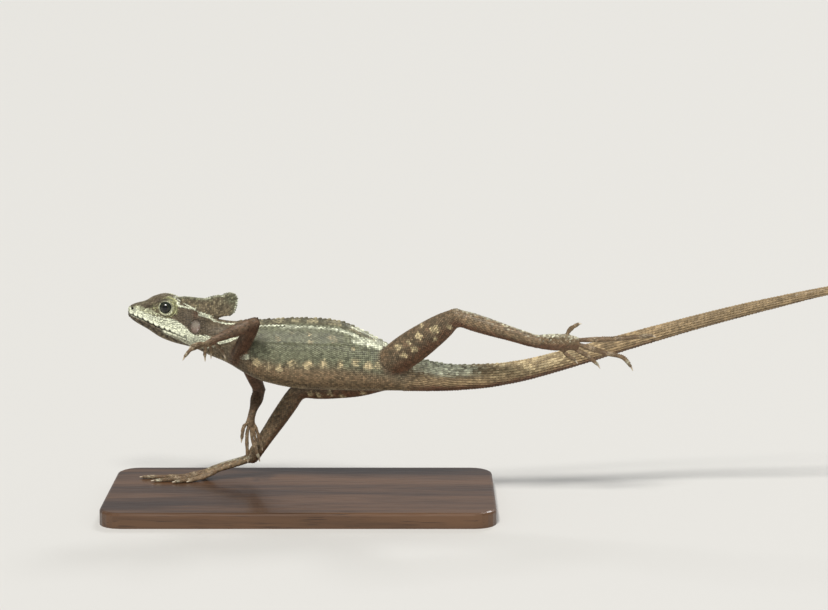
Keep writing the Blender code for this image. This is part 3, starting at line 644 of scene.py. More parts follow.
def skin_crest():
    """The tube of the crest: each ring goes up the left side and down the right."""
    along = np.linspace(0.01, 0.99, 70)[:, None]
    up = np.concatenate([np.linspace(0, 0.9, 11), [0.95, 0.985]])[None, :]
    left, right = crest_at(along, up, -1, -THIN_COAT), crest_at(along, up[:, ::-1], 1, -THIN_COAT)
    rings = np.concatenate([left, right], axis=1)
    return tube("crest", rings, rings.mean(axis=1)[[0, -1]])


def lid_at(turn, tube_angle, side, grow=0.0):
    """Points of a lid: turn goes round the eye, and the tube angle round the fold, from outside."""
    thick = LID_THICK + grow + 0.05 * np.cos(LID_WRINKLES * turn)
    out, rise = LID_RADIUS + thick * np.cos(tube_angle), thick * np.sin(tube_angle)
    flat_x, flat_z = out * np.cos(turn), LID_SQUASH * out * np.sin(turn)
    cos, sin = math.cos(LID_LEAN), math.sin(LID_LEAN)
    y = LID_AT_Y + rise * cos - flat_z * sin - LID_TURN * (LID_RADIUS - flat_x)
    z = EYE_AT[2] + flat_z * cos + rise * sin
    return columns(EYE_AT[0] + flat_x, side * y, z)


def skin_lid(side):
    """The torus of a lid: quads in both directions, with no pole."""
    rings = lid_at(around(88)[:, None], around(16)[None, :], side, -THIN_COAT)
    points, index = rings.reshape(-1, 3), np.arange(rings.size // 3).reshape(rings.shape[:2])
    quads = grid_quads(np.pad(index, ((0, 1), (0, 1)), "wrap"), turned=True)
    return bpy.data.objects.new("lid", put_mesh("lid", points, outward(points, [quads])))


print("the crest is", round(float(run_of(np.array(CREST_RIM))[-1]), 1), "mm along its rim")

# %% [markdown]
# ## Fuse the skin
#
# One union joins the tubes. Balls of the right sizes then cut the sockets, the ears and the
# nostrils. The ears' balls lean with the cheek.

# %% Fuse the skin and open its hollows


def ball(name, centre, size, segments=48, rings=24, lean=(0.0, 0.0)):
    """An ellipsoid as a tube: the ring radius is the sine of the polar angle. The lean shifts it
    sideways with x and with z, so that it follows a slanting cheek."""
    polar = np.linspace(0.08, math.pi - 0.08, rings)[:, None]
    angle = around(segments)[None, :]
    out = columns(np.sin(polar) * np.cos(angle), np.cos(polar), np.sin(polar) * np.sin(angle)) * size
    out[..., 1] += lean[0] * out[..., 0] + lean[1] * out[..., 2]
    return tube(name, out + centre, np.array([(0.0, 1.0, 0.0), (0.0, -1.0, 0.0)]) * size + centre)


def fuse(body, pieces, operation):
    """Joins the pieces to the body, or cuts them from it, in one Boolean, and removes them."""
    group = bpy.data.collections.new("pieces")
    scene.collection.children.link(group)
    for piece in pieces:
        group.objects.link(piece)
    modifier = body.modifiers.new("fuse", "BOOLEAN")
    modifier.operation = operation
    modifier.operand_type = "COLLECTION"
    modifier.collection = group
    modifier.solver = "MANIFOLD"
    bpy.context.view_layer.update()
    mesh = bpy.data.meshes.new_from_object(body.evaluated_get(bpy.context.evaluated_depsgraph_get()))
    body.modifiers.clear()
    body.data = mesh
    for piece in pieces:
        bpy.data.objects.remove(piece)
    bpy.data.collections.remove(group)


def mirrored(place, side):
    """The place, given for the right side, on this side."""
    return np.array(place) * (1, side, 1)


skin = skin_trunk()
scene.collection.objects.link(skin)
fuse(skin, [skin_crest(), skin_lid(-1), skin_lid(1), *limb_tubes], "UNION")
hollows = []
for side in SIDES.values():
    hollows.append(ball("socket", mirrored(EYE_AT, side), EYE_RADIUS + 0.06))
    hollows.append(ball("ear", mirrored(EAR_AT, side), EAR_SIZE, lean=side * EAR_LEAN))
    hollows.append(ball("nostril", mirrored(NOSTRIL_AT, side), NOSTRIL_SIZE, 24, 16))
fuse(skin, hollows, "DIFFERENCE")
print("skin", len(skin.data.polygons), "faces")

# %% [markdown]
# ## How near is each part?
#
# To smooth the creases where limbs meet the body, and to colour each part its own way, we need
# the distance from any point to each length and each digit, as we have it for the trunk. For a
# length it comes from the distance to its axis, for a digit from the distance to its line.

# %% Distances to the parts
FAR = 99.0
NEAR_LENGTH = 14.0
NEAR_DIGIT = 4.0


def length_place(length, points):
    """Distance outside a length, the share of the way along it, and the direction outwards."""
    rel = points - length["start"]
    run = rel @ length["along"]
    inside = np.clip(run, 0, length["long"])
    out = rel - inside[:, None] * length["along"]
    share = inside / length["long"]
    first, second = half_sizes(length, share)
    flat = np.stack([out @ length["in_plane"] / first, out @ length["across"] / second], axis=1)
    least = np.minimum(first, second)
    far = np.sqrt((flat ** 2).sum(axis=1) + ((run - inside) / least) ** 2)
    return (far - 1) * least, share, unit(out)


def piece_places(points, a, b):
    """Distance from each point to each straight piece from a to b, and the share along it."""
    ab = b - a
    t = np.clip(((points[:, None] - a) * ab).sum(axis=2) / (ab ** 2).sum(axis=1), 0, 1)
    return np.linalg.norm(points[:, None] - (a + t[..., None] * ab), axis=2), t


def digit_place(digit, points):
    """Distance outside a digit, the share of the way along it, and no direction."""
    far, t = piece_places(points, digit["centres"][:-1:2], digit["centres"][2::2])
    nearest = far.argmin(axis=1)
    rows = np.arange(len(points))
    share = (nearest + t[rows, nearest]) / far.shape[1]
    radius = np.interp(share, np.linspace(0, 1, DIGIT_STEPS), digit["radius"])
    return far[rows, nearest] - radius, share, None


def near_box(points, corners, margin):
    """The rows of the points in the box round the corners, grown by the margin."""
    low, high = np.min(corners, axis=0) - margin, np.max(corners, axis=0) + margin
    return np.flatnonzero(((points > low) & (points < high)).all(axis=1))


def limb_places(points):
    """For every length and digit: limb, kind, number, rows of the points near it, and what
    length_place or digit_place says there."""
    found = []
    for name, limb in LIMBS.items():
        for i, length in enumerate(limb["lengths"]):
            ends = length["start"] + np.array([[0.0], [length["long"]]]) * length["along"]
            rows = near_box(points, ends, NEAR_LENGTH)
            if len(rows):
                found.append((name, "length", i, rows, *length_place(length, points[rows])))
        for i, toe in enumerate(limb["toes"]):
            rows = near_box(points, toe["centres"], NEAR_DIGIT)
            if len(rows):
                found.append((name, "digit", i, rows, *digit_place(toe, points[rows])))
    return found


print("parts near the left elbow:", len(limb_places(np.array([LIMBS["arm_left"]["joints"][1]]))))

# %% [markdown]
# ## Soften the creases
#
# Where two tubes meet, the union leaves a hard crease. A point moves towards the mean of its
# neighbours, again and again, with a weight that is high only where a second part is close.

# %% Smooth the skin where parts meet
SMOOTH_ROUNDS = 24
SMOOTH_STEP = 0.6
LEAST_WEIGHT = 0.02
LEAST_REACH = 0.5
# How far a crease is smoothed at the upper, the lower length and the palm
REACHES = {"arm": (1.4, 0.9, 0.6), "leg": (2.2, 0.9, 0.6)}


def mesh_points(mesh):
    """The points of a mesh, in mm."""
    points = np.empty(len(mesh.vertices) * 3, np.float32)
    mesh.vertices.foreach_get("co", points)
    return points.reshape(-1, 3).astype(float) / MM


def seam_weight(points):
    """1 where two parts of the body are equally near, falling to 0 a few mm away."""
    first = np.abs(trunk_distance(points))
    second = np.full(len(points), FAR)
    reach = np.full(len(points), LEAST_REACH)
    for name, kind, i, rows, distance, *_ in limb_places(points):
        new, old = np.abs(distance), first[rows]
        second[rows] = np.minimum(second[rows], np.maximum(new, old))
        first[rows] = np.minimum(old, new)
        if kind == "length":
            reach[rows] = np.maximum(reach[rows], REACHES[name[:3]][i])
    return hill(second, reach)


def smooth(mesh, weight, rounds):
    """Moves each point towards the mean of its neighbours by its weight, round after round."""
    edges = np.empty(len(mesh.edges) * 2, np.int32)
    mesh.edges.foreach_get("vertices", edges)
    a, b = edges.reshape(-1, 2).T
    points = mesh_points(mesh)
    busy = weight > LEAST_WEIGHT
    keep = busy[a] | busy[b]
    a, b, size = a[keep], b[keep], len(points)
    count = np.bincount(a, minlength=size) + np.bincount(b, minlength=size)
    for _ in range(rounds):
        total = np.stack([
            np.bincount(a, column[b], size) + np.bincount(b, column[a], size) for column in points.T
        ], axis=1)
        mean = total / np.maximum(count, 1)[:, None]
        points = points + np.where(busy, SMOOTH_STEP * weight, 0)[:, None] * (mean - points)
    mesh.vertices.foreach_set("co", (points * MM).astype(np.float32).ravel())
    mesh.update()


smooth(skin.data, seam_weight(mesh_points(skin.data)), SMOOTH_ROUNDS)
skin_points = mesh_points(skin.data)
skin_tree = BVHTree.FromObject(skin, bpy.context.evaluated_depsgraph_get())
print("skin smoothed,", len(skin_points), "points")

# %% [markdown]
# ## Markings
#
# Skin and scales carry the same markings, so both ask one function. It gives eight masks for
# any point: cream, dark, rust and lime, then slate, pale belly, tan and ochre. The stripe on
# the temple, the lip stripe and the rows of spots are lines and discs in the side view, and
# both sides of the body have them.
# Some marks are painted light: cream and slate carry painted sheen and highlights on the hip, the tail's
# root, the ridge and the shins, and dark carries painted shade under the brow, on the upper flank, under
# the tail, in the mouth's groove, between the lip shields and in the nostrils.

# %% Lines and spots of the trunk
CREAM, DARK, RUST, LIME, SLATE, PALE, TAN, OCHRE = range(8)
TEMPLE_STRIPES = (
    ((-54.6, 94.9), (-53.9, 93.5), (-51.2, 92.5), (-47.8, 91.6), (-45.1, 91.2)),
    ((-44.5, 88.9), (-41.3, 87.6), (-38.0, 86.6)),
    ((-38.6, 86.0), (-33.5, 84.9), (-28.1, 84.4), (-17.9, 83.9), (-6.3, 84.2), (2.0, 83.7)),
)
STRIPE_HALF_WIDTHS = (0.64, 0.95, 0.8)
NECK_STRIPE = ((-41.2, 78.0), (-36.0, 77.0), (-31.5, 78.2), (-27.8, 79.6))
LIP_TOP = (
    (-77.4, 92.0), (-74.4, 91.8), (-70.9, 90.4), (-66.4, 88.9), (-62.0, 88.2), (-56.7, 87.5), (-53.5, 86.0),
    (-50.5, 83.7), (-47.0, 80.8), (-41.2, 80.2), (-38.0, 78.4),
)
SNOUT_PALE_TOP = (
    (-77.4, 92.2), (-75.9, 93.0), (-72.4, 92.7), (-69.4, 92.1), (-66.4, 91.5), (-63.9, 90.2), (-60.4, 88.3),
)
# Line of the painted shadow under the brow
BROW_FOLD_SHADOW = ((-63.9, 94.6), (-62.2, 95.6), (-60.4, 96.0), (-58.6, 95.8))
LIME_STREAK = ((-58.5, 96.3), (-56.2, 94.8), (-55.1, 92.8), (-55.3, 90.6))
# Line of the painted sheen on the hip
HIP_SHEEN = ((23.6, 77.4), (30.0, 76.4), (36.0, 74.6), (40.0, 72.6))
LIP_FOOT = ((-77.4, 89.2), (-57.3, 81.3), (-51.0, 78.3), (-46.6, 76.3), (-41.2, 76.4), (-38.0, 77.0))
LOW_SPOTS = (
    (-19.4, 68.3), (-14.1, 66.5), (-9.1, 65.6), (-3.3, 67.9), (3.9, 67.4), (10.6, 67.9), (18.2, 67.4),
    (24.9, 68.3), (30.7, 66.5), (35.2, 66.5),
)
MID_SPOTS = ((-9.5, 78.4), (-3.6, 81.0), (4.2, 80.4), (5.0, 77.6), (14.2, 79.2), (16.0, 77.6), (24.0, 74.0))
RIGHT_SIDE_SHIFT = 1.9
BACK_BAR_PITCH = 8.6
TAIL_BAR_PITCH = 15.0


def way_off(points, line):
    """Distance from points to a line of straight pieces, in two or three dimensions."""
    line = np.array(line, float)
    return piece_places(points, line[:-1], line[1:])[0].min(axis=1)


def laid_on(line, least=2.7):
    """A line of the side view laid on the trunk, at least this far from its middle plane."""
    x, z = np.array(line, float).T
    z = np.minimum(z, ease(x, TOP_LINE) - 0.35)
    return columns(x, np.maximum(side_at(x, z), least), z)


def waver(x, z):
    """A smooth uneven value from -1 to 1, from three crossing waves."""
    return (np.sin(2.9 * x + 1.3 * z) + np.sin(3.7 * z - 1.9 * x) + np.sin(5.3 * x - 2.1 * z)) / 3


def oval(x, z, centre, half):
    """A soft oval in the side view: a bell of the distance from its centre in half sizes."""
    return hill(np.hypot((x - centre[0]) / half[0], (z - centre[1]) / half[1]), 1.0)


def spots(x, z, places, size, soft):
    """1 inside uneven discs round the places, 0 outside. Their widths and strengths alternate."""
    mask = np.zeros(len(x))
    uneven = 0.55 * waver(x, z)
    for i, (sx, sz) in enumerate(places):
        far = np.hypot((x - sx) / (1.0 + 0.3 * math.sin(5 * i)), z - sz) + uneven
        strength = 0.85 + 0.15 * math.cos(3 * i)
        mask = np.maximum(mask, strength * step_up(far, size + soft, size - soft))
    return mask


def most(*masks):
    """The highest of several masks."""
    return np.maximum.reduce(masks)


def layers(count, values):
    """Eight masks from a dictionary of those that aren't 0, kept between 0 and 1."""
    masks = np.zeros((count, 8))
    for index, value in values.items():
        masks[:, index] = value
    return np.clip(masks, 0, 1)


print(len(LOW_SPOTS) + len(MID_SPOTS), "pale spots on each flank")

# %% [markdown]
# ## Marks of the head, body and tail
#
# Every mark is a product of soft steps and bells of the place. X tells head, body and tail
# apart, the share of the height tells back from belly, and the mouth line carries the lips.

# %% Marks of the trunk


def stripes(x, side, z):
    """The cream stripe from the eye to the flank: near its three lines, laid on the surface."""
    mask = np.zeros(len(x))
    wavy = 0.12 * waver(x, z)
    for line, wide in zip(TEMPLE_STRIPES, STRIPE_HALF_WIDTHS):
        wide = wide - 0.4 * step_up(x, -26, -20)
        off = way_off(columns(x, side, z), laid_on(line)) + wavy
        mask = np.maximum(mask, step_up(off, wide + 0.25, wide - 0.25))
    return mask * (1 - 0.45 * step_up(x, -14, -4))


def trunk_marks(points):
    """Eight masks for points of the head, the body and the tail."""
    x, y, z = points.T
    flat = columns(x, z)
    side = np.abs(y - ease(x, TAIL_SWING))
    top, bottom = ease(x, TOP_LINE), ease(x, BOTTOM_LINE)
    share, depth = (z - bottom) / (top - bottom), top - z
    head, body, tail = step_up(x, -36, -42), between(x, -30, -20, 40, 52), step_up(x, 40, 60)
    on_side, face = step_up(side, 0.6, 1.8), step_up(side, 1.5, 3.0)
    off, over_lip, under_lip = z - ease(x, MOUTH_LINE), z - ease(x, LIP_TOP), ease(x, LIP_FOOT) - z
    back = step_up(depth, 2.1, 1.2)
    bars = step_up(np.sin(x / BACK_BAR_PITCH * TAU + 0.9 * np.sin(x / 5.1)), 0.3, 0.75)

    # A pale stripe below the back's edge, made brighter towards the hip by a painted wet highlight
    back_stripe_and_highlight = hill(3.0 - depth, 0.6) * between(x, -12, -4, 36, 44) * on_side
    back_stripe_and_highlight *= 0.5 + 0.35 * step_up(x, 12, 24)
    neck = step_up(way_off(flat, NECK_STRIPE), 1.3, 0.8)
    lip = step_up(over_lip, 0.3, -0.4) * step_up(under_lip, 0.5, 0.0) * head
    jaw_streaks = head * step_up(x, -64, -60) * between(under_lip, 0.1, 0.5, 1.9, 2.8)
    chest = step_up(np.hypot((x + 24.9) / 2.6, (z - 70.7) / 1.4), 1.3, 0.7)
    # Painted sheen on the hip: a pale patch that stands in for wet shine
    painted_hip_sheen = way_off(flat, HIP_SHEEN) / (0.8 + 1.2 * step_up(x, 22.0, 32.0)) + 0.25 * waver(x, z)
    painted_hip_sheen = step_up(painted_hip_sheen, 1.15, 0.4) * on_side
    # Painted sheen along the top of the tail's root
    painted_rump_sheen = hill(x - 61.0, 20.0) * step_up(share, 0.5, 0.8) * (1 - body)
    # Painted wet highlight on the ridge over the hip
    painted_ridge_highlight = between(x, 19, 25, 42, 50) * step_up(depth, 1.1, 0.5)

    eye_far = np.hypot(x - EYE_AT[0], z - EYE_AT[2])
    behind = step_up(way_off(flat, LIME_STREAK), 1.5, 0.6)
    muzzle = (x < -60) * step_up(over_lip, -0.3, 0.3) * step_up(ease(x, SNOUT_PALE_TOP) - z, -0.5, 0.5)
    lid = step_up(eye_far, 3.6, 3.2)
    ring = most(0.6 * lid, step_up(eye_far, 5.1, 4.2) * (0.28 + 0.25 * step_up(x, -61.5, -57.0)))
    before_eye = 0.6 * oval(x, z, (-65.0, 92.2), (1.5, 1.8))
    nape_patch = 0.6 * oval(x, z, (-35.8, 87.0), (2.4, 0.8))

    seam = np.abs(x[:, None] - LIP_SEAMS[None, :]).min(axis=1)
    nostril = np.hypot((x - NOSTRIL_AT[0]) / NOSTRIL_SIZE[0], (z - NOSTRIL_AT[2]) / NOSTRIL_SIZE[2])
    jaw_below = head * step_up(under_lip, 0.0, 0.5)
    blotch = 0.5 + 0.5 * np.sin(x * 2.1 + 1.3 * np.sin(z * 1.7))
    jaw_dark = jaw_below * (0.35 + 0.4 * blotch) * step_up(under_lip, 7.0, 3.0) * (1 - 0.75 * jaw_streaks)
    tail_bars = step_up(np.sin(x / TAIL_BAR_PITCH * TAU), 0.35, 0.8) * step_up(share, 0.25, 0.7)
    dark = most(
        0.3 * head * step_up(x, -57, -53) * step_up(z, 93.0, 90.5) * step_up(over_lip, 0.2, 0.9),
        # The brow term is a painted shadow under the brow
        0.5 * oval(x, z, (-67.0, 93.0), (3.6, 0.9)), 0.6 * hill(way_off(flat, BROW_FOLD_SHADOW), 0.45) * face,
        jaw_dark, 0.35 * bars * back * body, 0.3 * tail_bars * step_up(x, 84, 96) * tail,
        0.55 * oval(x, z, (-17.0, 78.5), (4.0, 3.4)), 0.5 * oval(x, z, (73.0, 59.7), (8.5, 0.9)),
        # Painted shade on the upper flank; under the tail, painted shade over a real dark edge
        0.24 * body * hill(6.5 - depth, 3.2) * step_up(x, 26, 16), 0.42 * tail * step_up(share, 0.3, 0.05),
        # The second term is painted shade in the groove of the mouth
        0.26 * step_up(x, 130, 190), (0.9 - 0.45 * step_up(x, -64, -57)) * (x < JAW_BACK) * hill(off, 0.3),
        # Painted shade in the gaps between the upper lip shields
        0.85 * (x < -56) * hill(seam, 0.5) * between(off, 0.0, 0.2, 0.8, 1.5),
        # The last term is painted shade inside the nostrils
        0.6 * (x < -61) * between(-off, 0.2, 0.4, 1.4, 2.0), (side > 1.5) * step_up(nostril, 1.2, 0.9),
    )
    # Slate is the flank's own grey, and painted sheen on the hip and on top of the tail's root
    slate_and_painted_sheen = most(
        0.85 * body * step_up(share, 0.24, 0.54) * (1 - 0.3 * step_up(depth, 2.6, 1.6)),
        0.8 * oval(x, -depth, (32.0, -5.0), (9.0, 3.2)),
        0.5 * hill(x - 68.0, 20.0) * step_up(share, 0.4, 0.7) * tail,
        0.25 * head * step_up(depth, 2.0, 0.5),
    )
    low_band = body * hill(share - 0.22, 0.18)
    tail_root = tail * step_up(share, 0.4, 0.12) * (1 - 0.6 * step_up(x, 110, 190))
    shifted = np.where(y > 0, x - RIGHT_SIDE_SHIFT, x)
    return layers(len(x), {
        CREAM: most(
            stripes(x, side, z), back_stripe_and_highlight, neck, lip, 0.75 * chest, 0.7 * jaw_streaks, 0.72 * painted_hip_sheen,
            0.78 * painted_rump_sheen, 0.62 * painted_ridge_highlight, 0.4 * muzzle * face, 0.35 * lid * face,
        ),
        LIME: most(most(ring, 0.8 * behind, before_eye, 0.62 * muzzle) * face, nape_patch),
        DARK: dark,
        SLATE: slate_and_painted_sheen,
        RUST: most(0.27 * low_band, 0.85 * tail_root, 0.6 * oval(x, z, (-46.6, 89.0), (1.2, 2.0))),
        PALE: most(
            0.55 * body * step_up(share, 0.14, 0.02), 0.75 * jaw_below,
            0.6 * step_up(-x, 22, 34) * step_up(share, 0.25, 0.08) * (1 - head),
        ),
        TAN: tail * (1 - 0.5 * slate_and_painted_sheen) + 0.6 * low_band + 0.25 * body * back,
        OCHRE: most(
            0.92 * spots(shifted, z, LOW_SPOTS, 1.7, 1.4) * body,
            0.6 * spots(shifted, z, MID_SPOTS, 1.0, 0.9) * body,
            0.26 * back * (1 - bars) * body,
            0.55 * hill(x - 106.0, 26.0) * step_up(share, 0.2, 0.55) * tail,
        ),
    })


print("masks on the flank:", trunk_marks(np.array([(0.0, -12.0, 68.0)])).round(2)[0].tolist())

# %% [markdown]
# ## Marks of the crest and the limbs
#
# The crest is grey-brown with a mottle and a pale rim. Thighs have ochre spots of several sizes,
# shins and toes are tan, and the arms are reddish brown. At last all parts are blended, each
# with a weight that falls with its distance.
# The tops of the shins and feet carry a painted wet highlight: a pale line, pale streaks and a slate sheen.

# %% Marks of the crest and the limbs
# Pale spots of the left thigh: x, z and size. Those of the right one: share of the way, angle
THIGH_SPOTS = (
    (60.4, 85.2, 2.3), (66.7, 86.4, 1.5), (53.4, 81.7, 1.7), (44.1, 75.7, 1.8), (51.7, 75.3, 1.6),
    (49.1, 78.5, 1.2), (46.9, 72.2, 1.5), (60.4, 80.6, 1.3), (54.4, 86.4, 1.0),
)
FAR_THIGH_SPOTS = ((0.25, 0.4), (0.4, 1.3), (0.5, 0.2), (0.62, 1.1), (0.75, 0.3), (0.85, 1.4))
ARM_RUST, ARM_DARK, ARM_TAN = (0.6, 0.5, 0.4), (0.3, 0.3, 0.16), (0.15, 0.3, 0.5)
BLEND = 0.6


def crest_marks(points):
    """Masks on the crest."""
    x, y, z = points.T
    flat = columns(x, z)
    rim = way_off(flat, CREST_RIM)
    mottle = step_up(np.sin(1.9 * x + 1.4 * np.sin(0.9 * z)) * np.sin(1.3 * z + 0.8 * x), 0.1, 0.7)
    corner = oval(x, z, (-29.5, 95.5), (5.5, 4.5))
    stripe = np.minimum(way_off(flat, TEMPLE_STRIPES[0]), way_off(flat, TEMPLE_STRIPES[1]))
    cream = most(0.5 * step_up(rim, 0.9, 0.3), step_up(np.abs(y), 1.2, 2.0) * step_up(stripe, 0.9, 0.5))
    return layers(len(x), {
        CREAM: cream, DARK: 0.42 * mottle * step_up(rim, 0.6, 1.4) * (1 - cream),
        SLATE: 0.22 + 0.45 * most(hill(rim, 1.6), corner), TAN: 0.25 * (1 - mottle) * (1 - corner),
        LIME: 0.2 * hill(x + 46.5, 2.0), OCHRE: 0.14 * step_up(waver(0.6 * x, 0.6 * z), 0.1, 0.5),
    })


def thigh_spots(name, x, z, share, out):
    """The ochre spots of a thigh: discs in the side view on the left, and on the surface of the
    length on the right."""
    mask, uneven = np.zeros(len(x)), 0.6 * waver(x, z)
    if name == "leg_left":
        for at_x, at_z, size in THIGH_SPOTS:
            far = np.hypot(x - at_x, z - at_z) + uneven
            mask = most(mask, 0.8 * step_up(far, size + 0.5, size - 0.8))
        return mask * step_up(-out[:, 1], -0.2, 0.3)
    length = LIMBS[name]["lengths"][0]
    turn = np.abs(np.arctan2(out @ length["across"], out @ length["in_plane"]))
    for k, (at, angle) in enumerate(FAR_THIGH_SPOTS):
        for way in (-1, 1):
            far = np.hypot((share - at) * length["long"], 5.5 * (turn - angle + 0.1 * way * k)) + uneven
            mask = most(mask, 0.75 * step_up(far, 2.0, 0.8))
    return mask


def limb_marks(name, kind, i, points, share, out):
    """Masks on a length or a digit of a limb."""
    count = len(points)
    if kind == "digit":
        bands = step_up(np.sin(share * 20.0 + i), 0.2, 0.8)
        return layers(count, {
            TAN: 0.62, RUST: 0.4, CREAM: 0.16 * bands + 0.15 * step_up(share, 0.8, 0.95),
            DARK: 0.08 + 0.2 * (1 - bands),
        })
    x, _, z = points.T
    speckle = step_up(np.sin(2.3 * x + 1.1 * z) * np.sin(2.9 * z - 0.7 * x), 0.35, 0.8)
    up = out[:, 2]
    under = step_up(-up, 0.1, 0.8)
    if name.startswith("arm"):
        return layers(count, {
            RUST: ARM_RUST[i] + 0.25 * under, DARK: 0.25 * speckle + ARM_DARK[i], TAN: ARM_TAN[i],
            CREAM: 0.06 * (1 - speckle),
        })
    if i == 0:
        return layers(count, {
            RUST: 0.25 + 0.45 * under, TAN: 0.25, DARK: 0.35 * speckle,
            OCHRE: thigh_spots(name, x, z, share, out),
        })
    # Painted wet highlights on the upper side of shins and feet: a pale line along the top, pale streaks
    # and a slate sheen
    streaks = step_up(waver(0.5 * x, 1.3 * z), 0.0, 0.6) * step_up(up, -0.2, 0.5)
    return layers(count, {
        TAN: 0.56, RUST: 0.3 + 0.45 * under, DARK: 0.16 + 0.3 * speckle,
        SLATE: 0.15 * step_up(up, 0.2, 0.9),
        CREAM: 0.42 * step_up(up, 0.72, 0.98) + (0.2 + 0.08 * i) * streaks,
    })


def marks_at(points):
    """Eight masks at each point, blended over about a millimetre between the parts."""
    x, y, z = points.T
    masks = trunk_marks(points)
    over_nape = z - (ease(x, TOP_LINE) - 0.9)
    on_crest = step_up(over_nape, -0.2, 0.5) * (np.abs(y) < 3.2) * between(x, -57.5, -55.5, -27.0, -26.5)
    masks += on_crest[:, None] * (crest_marks(points) - masks)
    from_trunk = trunk_distance(points)
    nearest, found = from_trunk.copy(), limb_places(points)
    for _, _, _, rows, distance, *_ in found:
        nearest[rows] = np.minimum(nearest[rows], distance)
    weight = np.exp(-(from_trunk - nearest) / BLEND)
    total = masks * weight[:, None]
    for name, kind, i, rows, distance, share, out in found:
        w = np.exp(-(distance - nearest[rows]) / BLEND)
        total[rows] += w[:, None] * limb_marks(name, kind, i, points[rows], share, out)
        weight[rows] += w
    return total / weight[:, None]


print("marks at the eye's lid:", marks_at(EYE_AT[None] + (0, -3, 4.2)).round(2)[0].tolist())

# %% [markdown]
# ## Shapes of scales
#
# A scale is a closed shell of some twenty faces: a rim sunk in the skin, a shoulder, and a keel
# or a dome on top. It is given in its own units: along its lie, across it, and up. The crown
# value is 0 in the groove and 1 on the keel, and the finish uses it for painted shade in the
# grooves and a painted highlight on the keels.

# %% Templates of scales
ROOT_DEPTH = -0.9
FLOOR = [[5, 4, 3, 2, 1, 0]]


def band(first):
    """The quads between a ring of six points, from this number on, and the ring after it."""
    return [[first + i, first + (i + 1) % 6, first + 6 + (i + 1) % 6, first + 6 + i] for i in range(6)]


def keeled_scale(keel):
    """A leaf that tips up to the rear, with a ridge along its middle. Fourteen points."""
    rim = [(-0.52, 0), (-0.15, 0.5), (0.32, 0.4), (0.62, 0), (0.32, -0.4), (-0.15, -0.5)]
    low = [(a, b, ROOT_DEPTH) for a, b in rim]
    high = [(0.9 * a, 0.92 * b, h) for (a, b), h in zip(rim, (0.05, 0.45, 0.8, 1.0, 0.8, 0.45))]
    ridge = [(-0.22, 0.0, 0.5 + 0.4 * keel), (0.42, 0.0, 1.0 + keel)]
    quads = band(0) + [[7, 8, 13, 12], [10, 11, 12, 13]]
    corners = [[6, 7, 12], [8, 9, 13], [9, 10, 13], [11, 6, 12]]
    crown = [0.0] * 6 + [0.25, 0.35, 0.5, 0.7, 0.5, 0.35] + [0.8, 1.0]
    return low + high + ridge, [quads, corners, FLOOR], crown


def round_scale():
    """A low dome with a six-sided rim and two rings above it. Nineteen points."""
    rim = [(0.5 * math.cos(t), 0.5 * math.sin(t)) for t in np.arange(6) * math.pi / 3]
    levels = ((1.0, ROOT_DEPTH), (0.92, 0.42), (0.55, 0.86))
    rings = [[(s * a, s * b, h) for a, b in rim] for s, h in levels]
    top = [[12 + i, 12 + (i + 1) % 6, 18] for i in range(6)]
    crown = [0.0] * 6 + [0.4] * 6 + [0.75] * 6 + [1.0]
    return sum(rings, []) + [(0.0, 0.0, 1.0)], [band(0) + band(6), top, FLOOR], crown


def ridge_scale():
    """A thin blade that rises and leans back: five sections of five points, and two end points."""
    points, crown = [], []
    for a, tall in ((-0.42, 0.25), (-0.15, 0.62), (0.12, 0.95), (0.36, 1.0), (0.56, 0.55)):
        thick = 0.5 * (1 - 0.5 * abs(a))
        for wide, h in ((1.0, -0.7), (0.6, 0.35 * tall), (0.0, tall), (-0.6, 0.35 * tall), (-1.0, -0.7)):
            points.append((a + 0.16 * max(h, 0.0), wide * thick, h))
            crown.append(float(np.clip(h, 0, 1)))
    points += [(-0.56, 0.0, -0.3), (0.72, 0.0, -0.1)]
    turn = [(k, (k + 1) % 5) for k in range(5)]
    quads = [[i + k, i + after, i + 5 + after, i + 5 + k] for i in range(0, 20, 5) for k, after in turn]
    fans = [[after, k, 25] for k, after in turn] + [[20 + k, 20 + after, 26] for k, after in turn]
    return points, [quads, fans], crown + [0.0, 0.2]


def template(points, faces, crown):
    """The arrays of a template, with its faces turned outwards."""
    points = np.array(points, float)
    return points, outward(points, [np.array(f) for f in faces]), np.array(crown, float)


TEMPLATES = {
    "flat": template(*keeled_scale(0.25)), "keeled": template(*keeled_scale(0.7)),
    "sharp": template(*keeled_scale(1.1)), "round": template(*round_scale()),
    "ridge": template(*ridge_scale()),
}
print({name: len(points) for name, (points, _, _) in TEMPLATES.items()}, "points a scale")

# %% [markdown]
# ## Families of scales
#
# A family is a set of arrays with one row a scale: its place, the way it lies, its way up, its
# sizes and its place on the unwrap. Each scale is dropped onto the skin, and is left out where
# the skin is somewhere else, as under a limb, in the ear or in the eye.

# %% Settle scales on the skin
SEARCH = 3.0
LEAST_FACING = 0.35
SKIN_SHARE = 0.7
STEP_ALONG = 0.05
STEP_ACROSS = 0.01


def family(shape, at, lie, up, length, width, height, chart):
    """A family of like scales of one shape. The sizes may be one number or one for each."""
    size = np.broadcast_to(columns(length, width, height), (len(at), 3)).copy()
    return {"shape": shape, "at": at, "lie": lie, "up": up, "size": size, "chart": chart}


def only(group, keep):
    """The scales of a family for which keep is true."""
    return {k: v if k == "shape" else v[keep] for k, v in group.items()}


